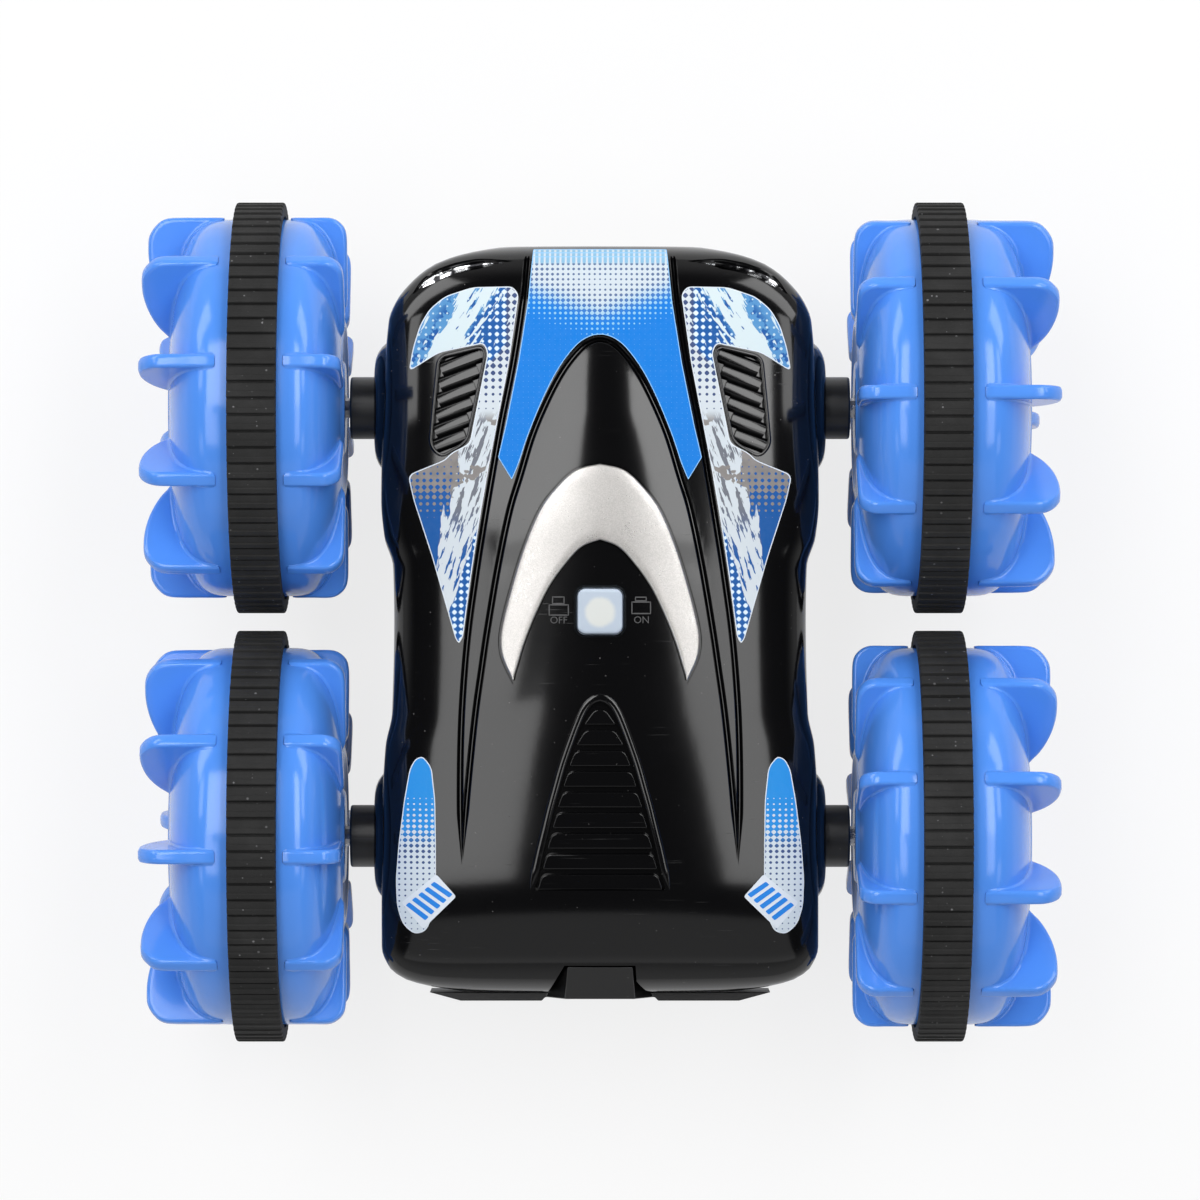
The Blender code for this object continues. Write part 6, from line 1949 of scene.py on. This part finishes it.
# -------- stage
def soft_box(name, corner, size, brightness, tilt=0.0, turn=0.0):
    """Rectangular lamp that faces down, or is tilted and turned towards the car."""
    clear_selection()
    bpy.ops.object.light_add(type="AREA", location=corner, rotation=(tilt, 0, turn))
    lamp = named(bpy.context.object, name)
    lamp.data.shape = "RECTANGLE"
    lamp.data.size, lamp.data.size_y = size
    lamp.data.energy = brightness * math.pi * size[0] * size[1]
    lamp.visible_camera = False


def make_stage():
    """Sets up the floor, the lamps and the camera"""
    scene = bpy.context.scene
    stage = settings("stage")
    for word, wide, deep, brightness in (
        ("left_nose", (-0.66, -0.16), (0.04, 1.1), stage.nose_lamps),
        ("right_nose", (0.36, 0.76), (0.04, 1.1), stage.nose_lamps * 1.1),
        ("left_middle", (-0.75, -0.36), (-0.07, 0.04), stage.tail_lamps),
        ("left_tail", (-0.75, -0.24), (-0.55, -0.07), stage.tail_lamps),
        ("right_tail", (0.36, 0.75), (-0.55, 0.04), stage.tail_lamps),
        ("far_left_nose", (-1.50, -1.00), (0.32, 1.1), stage.side_lamps),
        ("far_right_nose", (1.00, 1.50), (0.32, 1.1), stage.side_lamps),
        ("far_left_tail", (-1.50, -1.00), (-0.80, -0.42), stage.side_lamps * 0.5),
        ("far_right_tail", (1.00, 1.50), (-0.80, -0.42), stage.side_lamps * 0.5),
    ):
        middle = (sum(wide) / 2, sum(deep) / 2, LAMP_HEIGHT)
        soft_box(word + "_lamp", middle, (wide[1] - wide[0], deep[1] - deep[0]), brightness)
    for word, side in SIDES:
        soft_box(
            f"{word}_front_panel", (side * 1.05, 1.3, 0.9), (1.1, 0.5), stage.front_panel,
            math.radians(-59), -side * math.radians(39),
        )
    soft_box("rear_panel", (0.0, -1.3, 1.1), (2.0, 1.1), stage.rear_panel, math.radians(50))
    clear_selection()
    bpy.ops.mesh.primitive_plane_add(size=8)
    floor = named(bpy.context.object, "pale_floor")
    web, place = new_material("Pale floor", Roughness=0.9)
    grain = web.noise(place, 30.0, 3.0)
    web.put(web.shader.inputs["Base Color"], web.mix(grain, [0.83] * 3, [0.86] * 3))
    white = web.add("Emission", {"Strength": 1.0}).outputs[0]
    rays = web.add("LightPath").outputs
    mirrored_rays = web.most(rays["Is Glossy Ray"], rays["Is Transmission Ray"])
    seen = web.most(web.times(rays["Is Camera Ray"], 0.8), web.times(mirrored_rays, 0.4))
    both = web.add("MixShader", {0: seen, 1: web.shader.outputs[0], 2: white}).outputs[0]
    out = next(n for n in web.tree.nodes if n.type == "OUTPUT_MATERIAL")
    web.put(out.inputs["Surface"], both)
    floor.data.materials.append(web.item)
    world = bpy.data.worlds.new("Plain room")
    scene.world = world
    world.use_nodes = True
    room = next(n for n in world.node_tree.nodes if n.type == "BACKGROUND")
    air = Web(world.node_tree)
    rays = air.add("LightPath").outputs
    air.put(room.inputs["Color"], (1, 1, 1, 1))
    height = air.axes(air.add("TexCoord").outputs["Object"])["Z"]
    glow = air.blend(air.step(height, 0.12, 0.6), stage.horizon, stage.ceiling)
    air.put(room.inputs["Strength"], air.blend(rays["Is Camera Ray"], glow, 1.0))
    camera = bpy.data.cameras.new("camera")
    camera.lens = stage.focal_length
    camera.sensor_width = 36.0
    camera.clip_end = 20.0
    eye = bpy.data.objects.new("camera", camera)
    eye.location = (0.0, 0.0044, stage.camera_height)
    scene.collection.objects.link(eye)
    scene.camera = eye
    scene.view_settings.view_transform = "Standard"


# -------- operators and panel
def operator(word, label, work):
    """An operator class that does one job and takes its note from that job's function."""

    def execute(self, context):
        work()
        return {"FINISHED"}

    return type(
        f"STUNTCAR_OT_{word}", (bpy.types.Operator,),
        {"bl_idname": f"stunt_car.{word}", "bl_label": label, "__doc__": work.__doc__, "execute": execute},
    )


OPERATORS = [
    operator("roof", "Roof Shell", make_roof), operator("keel", "Keel Shell", make_keel),
    operator("door", "Battery Door", make_door), operator("screws", "Screws", make_screws),
    operator("stickers", "Stickers", make_stickers), operator("chevron", "Chevron", make_chevron),
    operator("button", "Power Button", make_button), operator("marks", "Key Marks", make_marks),
    operator("lamps", "Lamps", make_lamps), operator("bumper", "Bumper", make_bumper),
    operator("sleeves", "Axle Sleeves", make_sleeves), operator("wheels", "Wheels", make_wheels),
    operator("inside", "Inner Parts", dress_inside), operator("stage", "Stage", make_stage),
]
GROUPS = (
    ("stunt_car_hull", HullSettings), ("stunt_car_grilles", GrilleSettings),
    ("stunt_car_wheels", WheelSettings), ("stunt_car_finishes", FinishSettings),
    ("stunt_car_stage", StageSettings),
)


class VIEW3D_PT_stunt_car(bpy.types.Panel):
    """Lists the stunt car's sizes, colours and pieces"""

    bl_label = "Stunt Car"
    bl_space_type = "VIEW_3D"
    bl_region_type = "UI"
    bl_category = "Stunt Car"

    def draw(self, context):
        for attribute, group in GROUPS:
            box = self.layout.box()
            for key in group.__annotations__:
                box.prop(getattr(context.scene, attribute), key)
        for item in OPERATORS:
            self.layout.operator(item.bl_idname)


CLASSES = [group for _, group in GROUPS] + OPERATORS + [VIEW3D_PT_stunt_car]


def register():
    for item in CLASSES:
        bpy.utils.register_class(item)
    for attribute, group in GROUPS:
        setattr(bpy.types.Scene, attribute, PointerProperty(type=group))


def unregister():
    for attribute, _ in GROUPS:
        delattr(bpy.types.Scene, attribute)
    for item in reversed(CLASSES):
        bpy.utils.unregister_class(item)


def main():
    register()
    for item in OPERATORS:
        getattr(bpy.ops.stunt_car, item.bl_idname.split(".")[1])()


if __name__ == "__main__":
    main()
